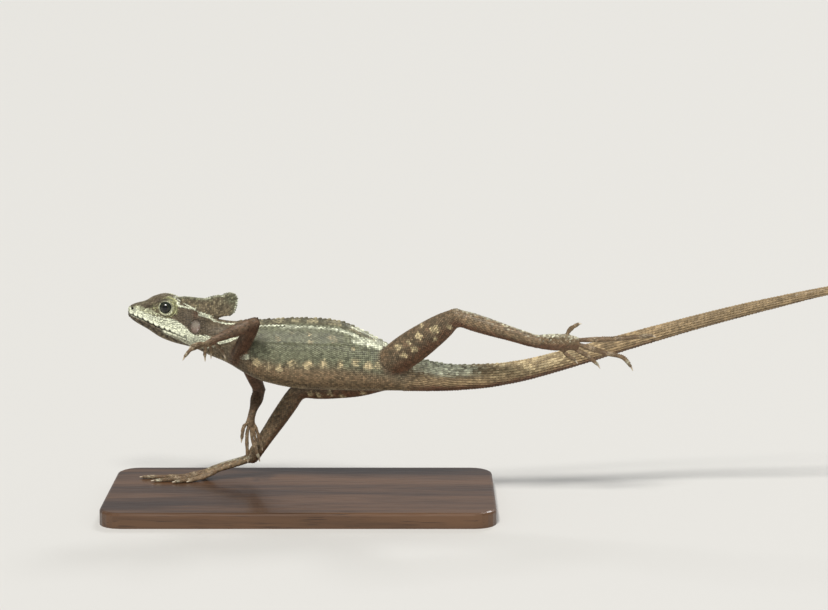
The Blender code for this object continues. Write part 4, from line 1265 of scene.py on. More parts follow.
def settle(group, limit=0.75):
    """Drops each scale of a family onto the skin, if it is this near, and turns it to the skin's
    slope there."""
    at, up = group["at"].copy(), group["up"].copy()
    keep = np.zeros(len(at), bool)
    for k, place in enumerate(group["at"]):
        where, normal, _, far = skin_tree.find_nearest(Vector(place * MM), SEARCH * MM)
        if where is None:
            continue
        normal = np.array(normal)
        if far / MM < limit and normal @ up[k] > LEAST_FACING:
            keep[k] = True
            at[k] = np.array(where) / MM
            up[k] = unit(SKIN_SHARE * normal + (1 - SKIN_SHARE) * up[k])
    return only(dict(group, at=at, up=up), keep)


def clear_of(group, places, spacing):
    """Leaves out the scales of a family that stand closer than the spacing to one of the places."""
    tree = KDTree(len(places))
    for k, place in enumerate(places):
        tree.insert(place, k)
    tree.balance()
    return only(group, np.array([tree.find(place)[2] > spacing for place in group["at"]], bool))


def frame_of(surface, first, second, middle):
    """Points of a surface of two numbers, the way along the first, and the normal away from the
    middle: the cross product of the two ways."""
    at = surface(first, second)
    lie = unit(surface(first + STEP_ALONG, second) - surface(first - STEP_ALONG, second))
    cross = unit(surface(first, second + STEP_ACROSS) - surface(first, second - STEP_ACROSS))
    up = unit(np.cross(lie, cross))
    return at, lie, np.where(((at - middle) * up).sum(axis=1, keepdims=True) < 0, -up, up)


def chance(shape):
    """Random numbers about 0, none beyond 2."""
    return dice.standard_normal(shape).clip(-2, 2)


print("a scale is sought up to", SEARCH, "mm from its place")

# %% [markdown]
# ## Rows of scales
#
# Scales stand in rows, and each row is shifted by half a scale against the last, as tiles on a
# roof. On the trunk a row goes round the body, and the columns run back from the head at a
# steady distance from the ridge.

# %% Rows round the trunk
ROW_PITCH = (
    (SNOUT_X, 0.5), (-70.0, 0.62), (-45.0, 0.7), (-30.0, 0.78), (-15.0, 0.86), (40.0, 0.88), (60.0, 1.15),
    (90.0, 1.35), (170.0, 1.45), (260.0, 1.3), (TAIL_END_X, 1.0),
)
COLUMN_PITCH = (
    (SNOUT_X, 0.5), (-70.0, 0.62), (-45.0, 0.72), (-30.0, 0.8), (-15.0, 0.9), (36.0, 0.9), (55.0, 1.08),
    (120.0, 1.22), (200.0, 1.1), (260.0, 0.9), (TAIL_END_X, 0.5),
)
STRAIGHT_FROM = 64.0
DENSE = 240


def trunk_rows():
    """x and angle of every place on the trunk, ring by ring, and the number of rings."""
    dense_angle = np.linspace(0, math.pi, DENSE)
    xs, angles = [], []
    x = SNOUT_X + 0.5
    while x < TAIL_END_X - 1.0:
        pitch = float(ease(x, COLUMN_PITCH))
        run = run_of(body_at(x, dense_angle))
        shift = 0.5 if len(xs) % 2 and x < STRAIGHT_FROM else 0.0
        angle = np.interp(np.arange(0.5 + shift, run[-1] / pitch - 0.2, 1.0) * pitch, run, dense_angle)
        xs.append(np.full(2 * len(angle), x))
        angles.append(np.concatenate([angle, -angle]))
        x += float(ease(x, ROW_PITCH))
    return np.concatenate(xs), np.concatenate(angles), len(xs)


trunk_x, trunk_angle, row_count = trunk_rows()
print(row_count, "rows and", len(trunk_x), "places on the trunk")

# %% [markdown]
# ## The coat of the trunk
#
# Small round scales on the head, flat leaves on the neck and body, keeled ones on the tail.
# The lips, the lids, the ear and the nostril keep their places free for scales of their own.

# %% Scales of the trunk
UPPER_LIP = (0.12, 1.75)
LOWER_LIP = (-1.6, -0.14)
LIP_TALLEST_X = -63.5


def lip_share(x):
    """How tall the lip shields are at x, as a share of the tallest."""
    return 1 - 0.25 * np.minimum(1, np.abs(x - LIP_TALLEST_X) / 13.0)


def trunk_chart(x, angle):
    """The place on the unwrap of the trunk: along it, and round it."""
    return columns((x - SNOUT_X) / TRUNK_LONG, (angle % TAU) / TAU)


def trunk_family(shape, keep, height, stretch=1.5, jitter=0.0):
    """Scales at the kept places of the trunk. They grow with the pitch of rows and columns."""
    x, angle = trunk_x[keep], trunk_angle[keep]
    pitch, across = ease(x, ROW_PITCH), ease(x, COLUMN_PITCH)
    angle = angle + jitter * dice.uniform(-1, 1, len(x)) / 12
    x = x + jitter * pitch * dice.uniform(-1, 1, len(x)) * 0.5
    middle = columns(x, ease(x, TAIL_SWING), (ease(x, TOP_LINE) + ease(x, BOTTOM_LINE)) / 2)
    at, lie, up = frame_of(lambda a, b: body_at(a, b, -COAT_DEPTH), x, angle, middle)
    size = 1 + 0.08 * chance(len(x))
    sizes = (stretch * pitch * size, across * 1.04 * size, height)
    return family(shape, at, lie, up, *sizes, trunk_chart(x, angle))


def head_free(at):
    """True where the head's small scales may stand: off lips, lids, ears and nostrils."""
    x, y, z = at.T
    off, tall = z - ease(x, MOUTH_LINE), lip_share(x)
    lips = (off > LOWER_LIP[0] * tall - 0.16) & (off < UPPER_LIP[1] * tall + 0.12) & (x < JAW_BACK - 0.8)
    lips |= (x < -76.3) & (off > -1.6) & (off < 1.8)
    lid = np.hypot(x - EYE_AT[0], (z - EYE_AT[2]) / LID_SQUASH) < 4.75
    ear = np.hypot((x - EAR_AT[0]) / EAR_SIZE[0], (z - EAR_AT[2]) / EAR_SIZE[2]) < 1.12
    nostril = np.hypot(x - NOSTRIL_AT[0], z - NOSTRIL_AT[2]) < 1.15
    return ~(lips | ((lid | ear | nostril) & (np.abs(y) > 2.0)))


on_head = trunk_x < HEAD_END - 1
on_neck = ~on_head & (trunk_x < -24)
on_torso = (trunk_x >= -24) & (trunk_x < VENT_X)
head_scales = settle(trunk_family("round", on_head, 0.22, 1.3, 0.2), 0.6)
head_scales = only(head_scales, head_free(head_scales["at"]))
neck_scales = settle(trunk_family("flat", on_neck, 0.2, 1.35, 0.1), 0.6)
torso_scales = settle(trunk_family("flat", on_torso, 0.24, 1.4))
torso_scales["size"][:, 2] *= 1.15 - 0.5 * step_up(torso_scales["at"][:, 2], 75.5, 77.5)
tail_scales = settle(trunk_family("sharp", trunk_x >= VENT_X, 0.27, 1.75))
tail_scales["size"][:, 2] *= ease(tail_scales["at"][:, 0], ((VENT_X, 1.0), (200.0, 0.9), (TAIL_END_X, 0.4)))
trunk_places = np.concatenate([g["at"] for g in (torso_scales, neck_scales, tail_scales)])
print("trunk scales:", len(head_scales["at"]), "on the head and", len(trunk_places), "behind it")

# %% [markdown]
# ## The coat of the limbs
#
# The same rows go round each length of a limb, and round each digit, where they become the
# rings of small plates that lizards have on their toes.

# %% Scales of the limbs
LIMB_PITCH = {"arm": (0.78, 0.78, 0.64), "leg": (0.86, 0.94, 0.66)}
DIGIT_PITCH = 0.68
DIGIT_COUNT = 8


def box_chart(box, along, angle):
    """The place in a box of the unwrap, from the share of the way along and the angle round."""
    low_x, low_y, high_x, high_y = box
    return columns(low_x + (high_x - low_x) * along, low_y + (high_y - low_y) * (angle % TAU) / TAU)


def length_family(length, pitch, shape, height, box):
    """Rows round a length at equal steps along its surface, so its rounded ends are covered too.
    The scales shrink where the girth does."""
    (low, high), long, first_row = length["caps"], length["long"], length["shape"][0]
    fine = np.linspace(-low + 0.02, long + high - 0.02, 500)
    way = run_of(length_at(length, fine, 0.0))
    runs = np.interp(np.arange(0.35 * pitch, way[-1] - 0.35 * pitch, pitch), way[1:], fine[1:])
    rings = length_at(length, runs[:, None], np.linspace(0, TAU, 40)[None, :])
    girths = np.linalg.norm(np.diff(rings, axis=1), axis=2).sum(axis=1)
    full = TAU * (first_row[1] + first_row[2]) / 2
    counts = []
    for run, girth in zip(runs, girths):
        inside = 0 <= run <= long
        count = max(3, round((full * 0.82 if inside else girth) / (pitch * 1.02)))
        if inside:
            count = max(3, round(count * min(1.0, 1.12 * girth / full) / 2) * 2)
        counts.append(count)
    run, girth, width = (np.repeat(values, counts) for values in (runs, girths, girths / counts))
    angle = np.concatenate([(np.arange(n) + 0.5 * (i % 2)) * TAU / n for i, n in enumerate(counts)])
    middle = length["start"] + np.clip(run, 0, long)[:, None] * length["along"]
    at, lie, up = frame_of(lambda a, b: length_at(length, a, b, -COAT_DEPTH), run, angle, middle)
    size = (1 + 0.07 * chance(len(run))) * np.clip(girth / (6 * pitch), 0.5, 1)
    chart = box_chart(box, (run + low) / (long + low + high), angle)
    return family(shape, at, lie, up, 1.4 * pitch * size, 1.04 * width * size, height, chart)


def digit_family(digit, box):
    """Rings of small plates along a finger or toe."""
    centres, radius = digit["centres"], digit["radius"] - DIGIT_COAT_DEPTH
    run = run_of(centres)
    at_run = np.arange(0.6, run[-1], DIGIT_PITCH)
    shift = 0.5 * (np.arange(len(at_run)) % 2)[:, None]
    angle = (np.arange(DIGIT_COUNT)[None, :] + shift) * TAU / DIGIT_COUNT
    way, side, other, centre = (walk(at_run, run, v)[:, None, :] for v in (*tube_frame(centres), centres))
    spoke = unit(np.cos(angle)[..., None] * side + np.sin(angle)[..., None] * other)
    wide = np.interp(at_run, run, radius)[:, None]
    at = (centre + wide[..., None] * spoke).reshape(-1, 3)
    lie = np.broadcast_to(unit(way), spoke.shape).reshape(-1, 3)
    width = np.broadcast_to(TAU * wide / DIGIT_COUNT, angle.shape).ravel()
    chart = box_chart(box, (at_run / run[-1])[:, None], angle).reshape(-1, 2)
    return family("flat", at, lie, spoke.reshape(-1, 3), 1.35 * DIGIT_PITCH, 1.05 * width, 0.16, chart)


limb_families = {}
for name, limb in LIMBS.items():
    groups = []
    for i, length in enumerate(limb["lengths"]):
        box = (0.01, 0.01 + 0.25 * i, 0.99, 0.24 + 0.25 * i)
        group = length_family(length, LIMB_PITCH[name[:3]][i], ("flat", "keeled", "flat")[i], 0.24, box)
        group = clear_of(settle(group, 0.6), trunk_places, 0.5)
        groups.append(clear_of(group, groups[-1]["at"], 0.5) if i else group)
    for i, toe in enumerate(limb["toes"]):
        box = (0.01, 0.76 + 0.045 * i, 0.99, 0.8 + 0.045 * i)
        groups.append(clear_of(settle(digit_family(toe, box), 0.35), groups[2]["at"], 0.45))
    limb_families[name] = groups
    print(name, sum(len(g["at"]) for g in groups), "scales")

# %% [markdown]
# ## Rows with a place of their own
#
# Round the eye stand rings of tiny grains, a row of longer scales guards the brow, another
# runs from the nostril to the eye, and rings frame the ear and the nostril. They are lines in
# the side view, thrown sideways onto the skin.

# %% Scales of the face
BROW_LINE = ((-66.8, 94.6), (-64.6, 96.0), (-61.8, 96.7), (-58.8, 96.6), (-56.0, 95.6), (-54.0, 94.2))
CANTHUS_LINE = ((-74.0, 92.5), (-71.6, 93.2), (-69.2, 93.8), (-67.2, 94.5))
SUBOCULAR_LINE = ((-65.4, 90.4), (-63.4, 88.4), (-60.8, 87.2), (-57.8, 87.3), (-55.2, 88.8), (-54.0, 91.0))
# Rings of grains on a lid: angle round its fold in degrees, and size of a grain
LID_ROWS = ((150, 0.48), (106, 0.52), (62, 0.56), (20, 0.6), (-22, 0.64), (-62, 0.66))
EYE_RING = 4.6


def cast(starts, way):
    """Where lines from these places, along the way, first meet the skin, its slope there, and
    whether they meet it at all."""
    at, up, keep = [], [], []
    for start in starts:
        where, normal, _, _ = skin_tree.ray_cast(Vector(start) * MM, Vector(way))
        keep.append(where is not None)
        at.append(np.array(where) / MM if keep[-1] else (0, 0, 0))
        up.append(np.array(normal) if keep[-1] else -np.array(way))
    return np.array(at), np.array(up), np.array(keep)


def from_side(x, z, side):
    """Places at x and z on the skin, looked at from this side."""
    return cast(columns(x, side * 40.0, z).reshape(-1, 3), (0, -side, 0))


def face_chart(x, z, side):
    """The place on the unwrap of the face, from the place in the side view."""
    return columns((x - SNOUT_X) / 60.0, 0.5 + side * (z - 70.0) / 80.0)


def side_row(shape, line, side, spacing, *sizes):
    """Evenly spaced scales along a line in the side view, lying along it."""
    line = np.array(line, float)
    run = run_of(line)
    count = max(2, round(run[-1] / spacing))
    at_run = (np.arange(count) + 0.5) * run[-1] / count
    x, z = walk(at_run, run, line).T
    after_x, after_z = walk(at_run + 0.1, run, line).T
    at, up, keep = from_side(x, z, side)
    lie = unit(columns(after_x - x, 0.0, after_z - z) + 1e-9)
    return only(family(shape, at, lie, up, *sizes, face_chart(x, z, side)), keep)


def lid_row(angle, size, side):
    """A ring of grains on a lid, at this angle round its fold."""
    count = round(TAU * (LID_RADIUS + LID_THICK * math.cos(angle)) / (0.98 * size))
    turn = (np.arange(count) + 0.5) * TAU / count
    fold = lid_at(turn, angle, side, -LID_THICK)
    at, lie, up = frame_of(lambda a, b: lid_at(a, b, side, -THIN_COAT), turn, np.full(count, angle), fold)
    chart = face_chart(at[:, 0], at[:, 2], side)
    return settle(family("round", at, lie, up, size, size, 0.13, chart), 0.35)


def ring_line(centre, half_x, half_z, count=60):
    """A closed oval line in the side view, round a centre."""
    turn = np.append(around(count), 0.0)
    return columns(centre[0] + half_x * np.cos(turn), centre[2] + half_z * np.sin(turn))


def lip_edge(height):
    """The line along the mouth this high above it, where the lip shields end."""
    x = np.linspace(-76.2, JAW_BACK - 1.0, 30)
    return columns(x, ease(x, MOUTH_LINE) + height[0] * lip_share(x) + height[1])


face_groups = []
for side in SIDES.values():
    for height in ((UPPER_LIP[1], 0.3), (LOWER_LIP[0], -0.36)):
        face_groups.append(side_row("round", lip_edge(height), side, 0.6, 0.68, 0.6, 0.2))
    face_groups += [lid_row(math.radians(angle), size, side) for angle, size in LID_ROWS]
    for shape, line, *sizes in (
        ("round", ring_line(EYE_AT, EYE_RING, LID_SQUASH * EYE_RING), 0.72, 0.74, 0.74, 0.13),
        ("keeled", BROW_LINE, 1.05, 1.5, 0.95, 0.3),
        ("flat", CANTHUS_LINE, 1.0, 1.35, 1.05, 0.24),
        ("keeled", SUBOCULAR_LINE, 1.05, 1.45, 0.8, 0.24),
        ("round", ring_line(EAR_AT, 1.14 * EAR_SIZE[0], 1.12 * EAR_SIZE[2]), 0.62, 0.62, 0.55, 0.2),
        ("round", ring_line(NOSTRIL_AT, 0.95, 0.84), 0.52, 0.6, 0.5, 0.24),
    ):
        face_groups.append(side_row(shape, line, side, *sizes))
face_places = np.concatenate([g["at"] for g in face_groups])
head_scales = clear_of(head_scales, face_places, 0.5)
print(len(face_places), "scales in rows on the face")

# %% [markdown]
# ## Lips
#
# A basilisk has a row of oblong shields along each lip, ten or so a side. A shield is a grid
# in two directions, along the mouth and away from it, whose height is a flat dome with a
# rounded edge. It is thrown onto the skin from the side and closed below.

# %% Lip shields
SHIELD_STEPS = np.array((-1.0, -0.93, -0.76, -0.4, 0.0, 0.4, 0.76, 0.93, 1.0))
SHIELD_EDGE = -0.25
SHIELD_ROOT = -0.35
# Shields and a row of grains on the tip of the snout: lower and upper edge, half width, row
SNOUT_SHIELDS = ((0.15, 1.75, 2.4, 2.0), (-1.55, -0.15, 2.3, -1.85))


def from_front(y, z):
    """Places at y and z on the snout, looked at from the front."""
    return cast(columns(-120.0, y, z).reshape(-1, 3), (1, 0, 0))


def shield(throw, middle, half, rise, taper=0.0):
    """Points, faces and crown values of a shield. Throw takes the two grids of an oblong, given
    by its middle and its half sizes, to the skin. A dome of the sixth powers lifts them, and the
    taper rounds the lower end."""
    a, b = np.meshgrid(SHIELD_STEPS, SHIELD_STEPS, indexing="ij")
    round_a, round_b = a * np.sqrt(1 - 0.12 * b * b), b * np.sqrt(1 - 0.12 * a * a)
    round_a = round_a * (1 - taper * np.clip(-b, 0, 1) ** 2)
    at, up, keep = throw(middle[0] + half[0] * round_a, middle[1] + half[1] * round_b)
    if not keep.all():
        return None
    dome = np.clip((1 - a ** 6) * (1 - b ** 6), 0, 1) ** 0.4
    up = unit(up.mean(axis=0))
    top = at.reshape(*a.shape, 3) + (SHIELD_EDGE + (rise - SHIELD_EDGE) * dome)[..., None] * up
    index = np.arange(a.size).reshape(a.shape)
    border = np.concatenate([index[0, :-1], index[:-1, -1], index[-1, :0:-1], index[:0:-1, 0]])
    fan = columns(border, np.roll(border, -1), a.size)
    points = np.concatenate([top.reshape(-1, 3), (at.mean(axis=0) + SHIELD_ROOT * up)[None]])
    faces = outward(points, [grid_quads(index, turned=True), fan])
    return points, faces, np.append(0.3 + 0.5 * dome.ravel(), 0.0)


def front_row(z, half, spacing):
    """A row of grains across the tip of the snout at this height."""
    y = np.arange(-half, half + 0.1, spacing)
    at, up, keep = from_front(y, z)
    lie = np.broadcast_to((0.0, 1.0, 0.0), at.shape)
    return only(family("round", at, lie, up, 0.66, 0.6, 0.2, columns(0.02, 0.5 + y / 80.0)), keep)


def lip_shield(x0, x1, low, high, side, rise, taper):
    """A shield between two places along the mouth, and between two heights off its line."""
    on_lip = lambda x, off: from_side(x, ease(x, MOUTH_LINE) + off, side)
    middle = ((x0 + x1) / 2, (low + high) / 2)
    return shield(on_lip, middle, (0.49 * (x1 - x0), (high - low) / 2), rise, taper)


shields = []
for side in SIDES.values():
    for x0, x1 in zip(LIP_SEAMS[:-1], LIP_SEAMS[1:]):
        tall = float(lip_share((x0 + x1) / 2))
        shields.append(lip_shield(x0, x1, UPPER_LIP[0], UPPER_LIP[1] * tall, side, 0.24, 0.35))
        shields.append(lip_shield(x0 + 0.9, x1 + 0.9, LOWER_LIP[0] * tall, LOWER_LIP[1], side, 0.18, 0.1))
snout_mouth = float(ease(SNOUT_X, MOUTH_LINE))
for low, high, wide, row in SNOUT_SHIELDS:
    face_groups.append(front_row(snout_mouth + row, wide, 0.56))
    middle = (0.0, snout_mouth + (low + high) / 2)
    shields.append(shield(from_front, middle, (wide, (high - low) / 2), 0.15))
face_groups.append(front_row(snout_mouth + 2.55, 1.9, 0.54))
for row in face_groups[-3:]:
    head_scales = clear_of(head_scales, row["at"], 0.42)
shields = [s for s in shields if s]
print(len(shields), "lip shields")

# %% [markdown]
# ## Crest, ridge and fringes
#
# The crest has rows of scales from its root to its rim, and a pale scale on the rim itself.
# Along the back runs a low ridge of blades. The long hind toes have a fringe of flat lobes on
# their outer side, which spreads on water.

# %% Scales of the crest, the ridge and the toe fringes
CREST_ROWS = 14


def crest_chart(along, up):
    """The place on the unwrap of the crest: along it, and up from the middle to either side."""
    return columns(0.02 + 0.9 * along, 0.5 + up)


def crest_family(side):
    """Rows parallel to the rim, a steady distance apart, down to where the skin of the head is."""
    places = np.linspace(0.02, 0.985, 38)
    tall = np.linalg.norm(along_line(CREST_RIM, places) - along_line(CREST_ROOT, places), axis=1)
    row = np.arange(CREST_ROWS)[:, None]
    up = 1 - (0.75 + 0.85 * row) / tall
    along = np.broadcast_to(places + 0.5 * (row % 2) * (places[1] - places[0]), up.shape)
    good = up > 0.05
    along, up = np.clip(along[good], 0, 0.99), up[good]
    at = crest_at(along, up, side, -THIN_COAT)
    lie = unit(crest_at(along, np.clip(up + 0.05, 0, 1), side, -THIN_COAT) - at)
    lie = unit(lie + (0.8, 0, 0))
    out = np.broadcast_to((0.0, float(side), 0.0), at.shape).copy()
    size = 1 + 0.08 * chance(len(at))
    chart = crest_chart(along, side * (0.02 + 0.45 * up))
    return settle(family("flat", at, lie, out, 1.2 * size, 0.98 * size, 0.17, chart), 0.5)


def rim_family():
    """One scale after another on the rim of the crest."""
    along = np.linspace(0.03, 0.975, 34)
    at, ahead = crest_at(along, 1.0, 0), crest_at(along + 0.01, 1.0, 0)
    out = unit(at - crest_at(along, 0.9, 0))
    return family("ridge", at - 0.35 * out, unit(ahead - at), out, 1.25, 0.85, 0.5, crest_chart(along, 0.0))


def ridge_family(start, end, spacing, tall):
    """Blades along the ridge of the back. They lean back and vary a little in height."""
    x = np.arange(start, end, spacing)
    lie = unit(body_at(x + 0.3, 0.0) - body_at(x - 0.3, 0.0))
    up = unit(np.cross(lie, (0.0, 1.0, 0.0)))
    up = np.where(up[:, 2:] < 0, -up, up)
    height = tall * (1 + 0.2 * np.sin(2.4 * np.arange(len(x))))
    sizes = (1.25 * spacing, 0.95 * (0.4 + 0.6 * tall), height)
    at, chart = body_at(x, 0.0, -COAT_DEPTH), columns((x - SNOUT_X) / TRUNK_LONG, 0.002)
    return family("ridge", at, lie, up, *sizes, chart)


def fringe_family(limb, i):
    """Flat lobes along the outer side of a hind toe, from its middle joints to the claw."""
    centres, radius = limb["toes"][i]["centres"], limb["toes"][i]["radius"]
    run = run_of(centres)
    at_run = np.arange(0.35 * run[-1], 0.95 * run[-1], 0.8)
    place = walk(at_run, run, centres)
    lie = unit(walk(at_run + 0.3, run, centres) - place)
    across = unit(limb["across"])
    out = unit(across - (lie @ across)[:, None] * lie)
    at = place + out * (np.interp(at_run, run, radius)[:, None] - 0.3)
    return family("ridge", at, lie, out, 0.95, 0.35, 0.75, columns(at_run / run[-1], 0.98))


crest_scales = [crest_family(-1), crest_family(1), rim_family()]
ridges = [ridge_family(-27.5, 90.0, 2.1, 0.85), ridge_family(91.0, 300.0, 1.9, 0.38)]
for name in ("leg_left", "leg_right"):
    limb_families[name] += [fringe_family(LIMBS[name], i) for i in (2, 3)]
print("crest", sum(len(g["at"]) for g in crest_scales), "ridge", sum(len(g["at"]) for g in ridges))

# %% [markdown]
# ## Finish of skin and scales
#
# One node group turns the eight masks into colour. It mixes named colours, one over another,
# breaks them up with noise on Object coordinates, paints shade into the grooves between the
# scales and paints highlights onto the keels.
# It also gives a roughness and a height for the bump. The shader itself stays in the material.

# %% The group that colours the skin
SKIN_COLOURS = {
    "Brown": (0.135, 0.105, 0.066), "Cream": (0.69, 0.71, 0.54), "Dark": (0.028, 0.020, 0.014),
    "Rust": (0.150, 0.074, 0.042), "Lime": (0.37, 0.37, 0.19), "Slate": (0.160, 0.166, 0.104),
    "Pale": (0.34, 0.27, 0.17), "Tan": (0.32, 0.232, 0.128), "Ochre": (0.50, 0.41, 0.24),
}
# Colours one over another: name, its mask, and how far the mask is broken up scale by scale
SKIN_LAYERS = (
    ("Tan", TAN, 0.2), ("Slate", SLATE, 0.25), ("Rust", RUST, 0.3), ("Pale", PALE, 0.3),
    ("Ochre", OCHRE, 0.42), ("Lime", LIME, 0.5), ("Cream", CREAM, 0.35), ("Dark", DARK, 0.4),
)


def new_group(name, ins, outs):
    """A shader node group with named inputs and outputs."""
    group = bpy.data.node_groups.new(name, "ShaderNodeTree")
    for label, kind, value in ins:
        socket = group.interface.new_socket(label, in_out="INPUT", socket_type=kind)
        socket.default_value = value
    for label, kind in outs:
        group.interface.new_socket(label, in_out="OUTPUT", socket_type=kind)
    return group, group.nodes.new("NodeGroupInput"), group.nodes.new("NodeGroupOutput")


def feed(tree, socket, value):
    """Links another socket to this one, or sets its value."""
    if isinstance(value, bpy.types.NodeSocket):
        tree.links.new(value, socket)
    else:
        socket.default_value = value


def add(tree, kind, **settings):
    """A node of this kind. Names of sockets feed them, and other names set properties."""
    node = tree.nodes.new(kind)
    for key, value in settings.items():
        if key in node.inputs.keys():
            feed(tree, node.inputs[key], value)
        else:
            setattr(node, key, value)
    return node


def value_of(tree, name, output="Fac"):
    """A value that the mesh carries at each point."""
    return add(tree, "ShaderNodeAttribute", attribute_name=name).outputs[output]


def mix(tree, factor, first, second, blend="MIX"):
    """Mixes two colours. Each may be a socket or a colour."""
    node = add(tree, "ShaderNodeMix", data_type="RGBA", blend_type=blend)
    for place, value in ((0, factor), (6, first), (7, second)):
        feed(tree, node.inputs[place], value)
    return node.outputs[2]


def calc(tree, operation, *values):
    """A Math node on sockets or numbers."""
    node = add(tree, "ShaderNodeMath", operation=operation)
    for socket, value in zip(node.inputs, values):
        feed(tree, socket, value)
    return node.outputs[0]


def off_half(tree, value):
    """How far a value is from a half."""
    return calc(tree, "SUBTRACT", value, 0.5)


def noise(tree, scale, detail=2.0, rough=0.5):
    """Noise on Object coordinates, in waves per metre."""
    place = add(tree, "ShaderNodeTexCoord").outputs["Object"]
    return add(
        tree, "ShaderNodeTexNoise", Scale=scale, Detail=detail, Roughness=rough, Vector=place
    ).outputs["Fac"]


def spread(tree, value, *limits):
    """Maps a value smoothly from one range to another: low, high, to low, to high."""
    node = add(tree, "ShaderNodeMapRange", interpolation_type="SMOOTHSTEP")
    for socket, number in zip(node.inputs, (value, *limits)):
        feed(tree, socket, number)
    return node.outputs[0]


def shaded(tree, colour, light):
    """A colour times a value."""
    grey = add(tree, "ShaderNodeCombineColor")
    for socket in grey.inputs[:3]:
        feed(tree, socket, light)
    return mix(tree, 1.0, colour, grey.outputs[0], "MULTIPLY")


def build_marking_group():
    """The group: masks from the mesh, each with an uneven edge, lay one colour over another."""
    ins = [(label, "NodeSocketColor", (*colour, 1.0)) for label, colour in SKIN_COLOURS.items()]
    outs = [("Color", "NodeSocketColor"), ("Roughness", "NodeSocketFloat"), ("Height", "NodeSocketFloat")]
    group, given, result = new_group("marked skin", ins, outs)
    parts = []
    for layer in ("marks_a", "marks_b"):
        attribute = add(group, "ShaderNodeAttribute", attribute_name=layer)
        split = add(group, "ShaderNodeSeparateColor")
        feed(group, split.inputs[0], attribute.outputs["Color"])
        parts += [*split.outputs[:3], attribute.outputs["Alpha"]]
    grain, crown = value_of(group, "grain"), value_of(group, "crown")
    cloud, fine = noise(group, 190.0, 4.0, 0.6), noise(group, 1500.0, 2.0)
    mottle = spread(group, noise(group, 620.0, 2.0), 0.3, 0.7, 0.80, 1.22)
    scale_by_scale = off_half(group, grain)
    patches = calc(group, "MULTIPLY", off_half(group, cloud), 0.75)

    def mask(index, broken):
        """A mask with an uneven edge, broken up scale by scale to this degree."""
        edge = calc(group, "MULTIPLY", parts[index], calc(group, "SUBTRACT", 1.0, parts[index]))
        uneven = calc(group, "MULTIPLY_ADD", scale_by_scale, broken, patches)
        value = calc(group, "MULTIPLY_ADD", calc(group, "MULTIPLY", edge, 4.0), uneven, parts[index])
        return spread(group, value, 0.02, 0.98, 0.0, 1.0)

    colour = given.outputs["Brown"]
    for label, index, broken in SKIN_LAYERS:
        colour = mix(group, mask(index, broken), colour, given.outputs[label])
    tone = calc(group, "ADD", calc(group, "MULTIPLY", grain, 0.6), calc(group, "MULTIPLY", fine, 0.4))
    shade = spread(group, tone, 0.1, 0.9, 0.68, 1.34)
    # Painted shade in the grooves between scales and a painted highlight on the keels, both from the crown
    # value
    groove_shade = spread(group, crown, 0.0, 0.55, 0.40, 1.0)
    keel = spread(group, crown, 0.6, 1.0, 1.0, 1.3)
    tone, groove_shade_and_keel_highlight = calc(group, "MULTIPLY", shade, mottle), calc(group, "MULTIPLY", groove_shade, keel)
    light = calc(group, "MULTIPLY", tone, groove_shade_and_keel_highlight)
    feed(group, result.inputs["Color"], shaded(group, colour, light))
    feed(group, result.inputs["Roughness"], spread(group, fine, 0.2, 0.8, 0.42, 0.62))
    feed(group, result.inputs["Height"], fine)
    return group


marking_group = build_marking_group()
print("marking group", len(marking_group.nodes), "nodes")

# %% [markdown]
# ## Two materials for skin and scales
#
# Both use the group. The bare skin between the scales is dull and its bump is stronger. The
# scales have a thin coat, as horn has.

# %% Materials of skin and scales


def new_material(name, **values):
    """A material, its tree and its shader, with these values on the shader's own sockets."""
    material = bpy.data.materials.new(name)
    material.use_nodes = True
    tree = material.node_tree
    shader = tree.nodes["Principled BSDF"]
    for label, value in values.items():
        shader.inputs[label.replace("_", " ")].default_value = value
    return material, tree, shader


def surface(tree, shader, colour, rough, height, strength, depth):
    """Feeds the shader with a colour, a roughness, and a bump of this strength and depth."""
    feed(tree, shader.inputs["Base Color"], colour)
    feed(tree, shader.inputs["Roughness"], rough)
    relief = add(tree, "ShaderNodeBump", Strength=strength, Distance=depth, Height=height)
    feed(tree, shader.inputs["Normal"], relief.outputs["Normal"])


def skin_material(name, bump, coat):
    """A material with the marking group."""
    material, tree, shader = new_material(
        name, Specular_IOR_Level=0.28, Coat_Weight=coat, Coat_Roughness=0.3
    )
    group = add(tree, "ShaderNodeGroup", node_tree=marking_group)
    for label, colour in SKIN_COLOURS.items():
        group.inputs[label].default_value = (*colour, 1.0)
    surface(tree, shader, *group.outputs, bump, 0.0001)
    return material


skin_finish = skin_material("bare skin between the scales", 0.5, 0.0)
scale_finish = skin_material("horny scales", 0.25, 0.06)
print("materials:", skin_finish.name, "and", scale_finish.name)

# %% [markdown]
# ## Put the coat together
#
# Each family becomes one mesh by arithmetic on arrays: template points times size, turned by
# the scale's own three directions, plus its place. Joined pieces stay under two hundred
# thousand triangles. The map OFBake gives each scale a patch three thousandths across, at its
# root's place on the unwrap of the skin.

# %% Join scales into pieces
PATCH = 0.003
# Scales are not laid by a machine: they tip and turn a little, each its own way
TILT = 0.035
TURN = 0.06
SHARP_ANGLE = math.radians(38)
TAIL_PARTED_X = 165.0


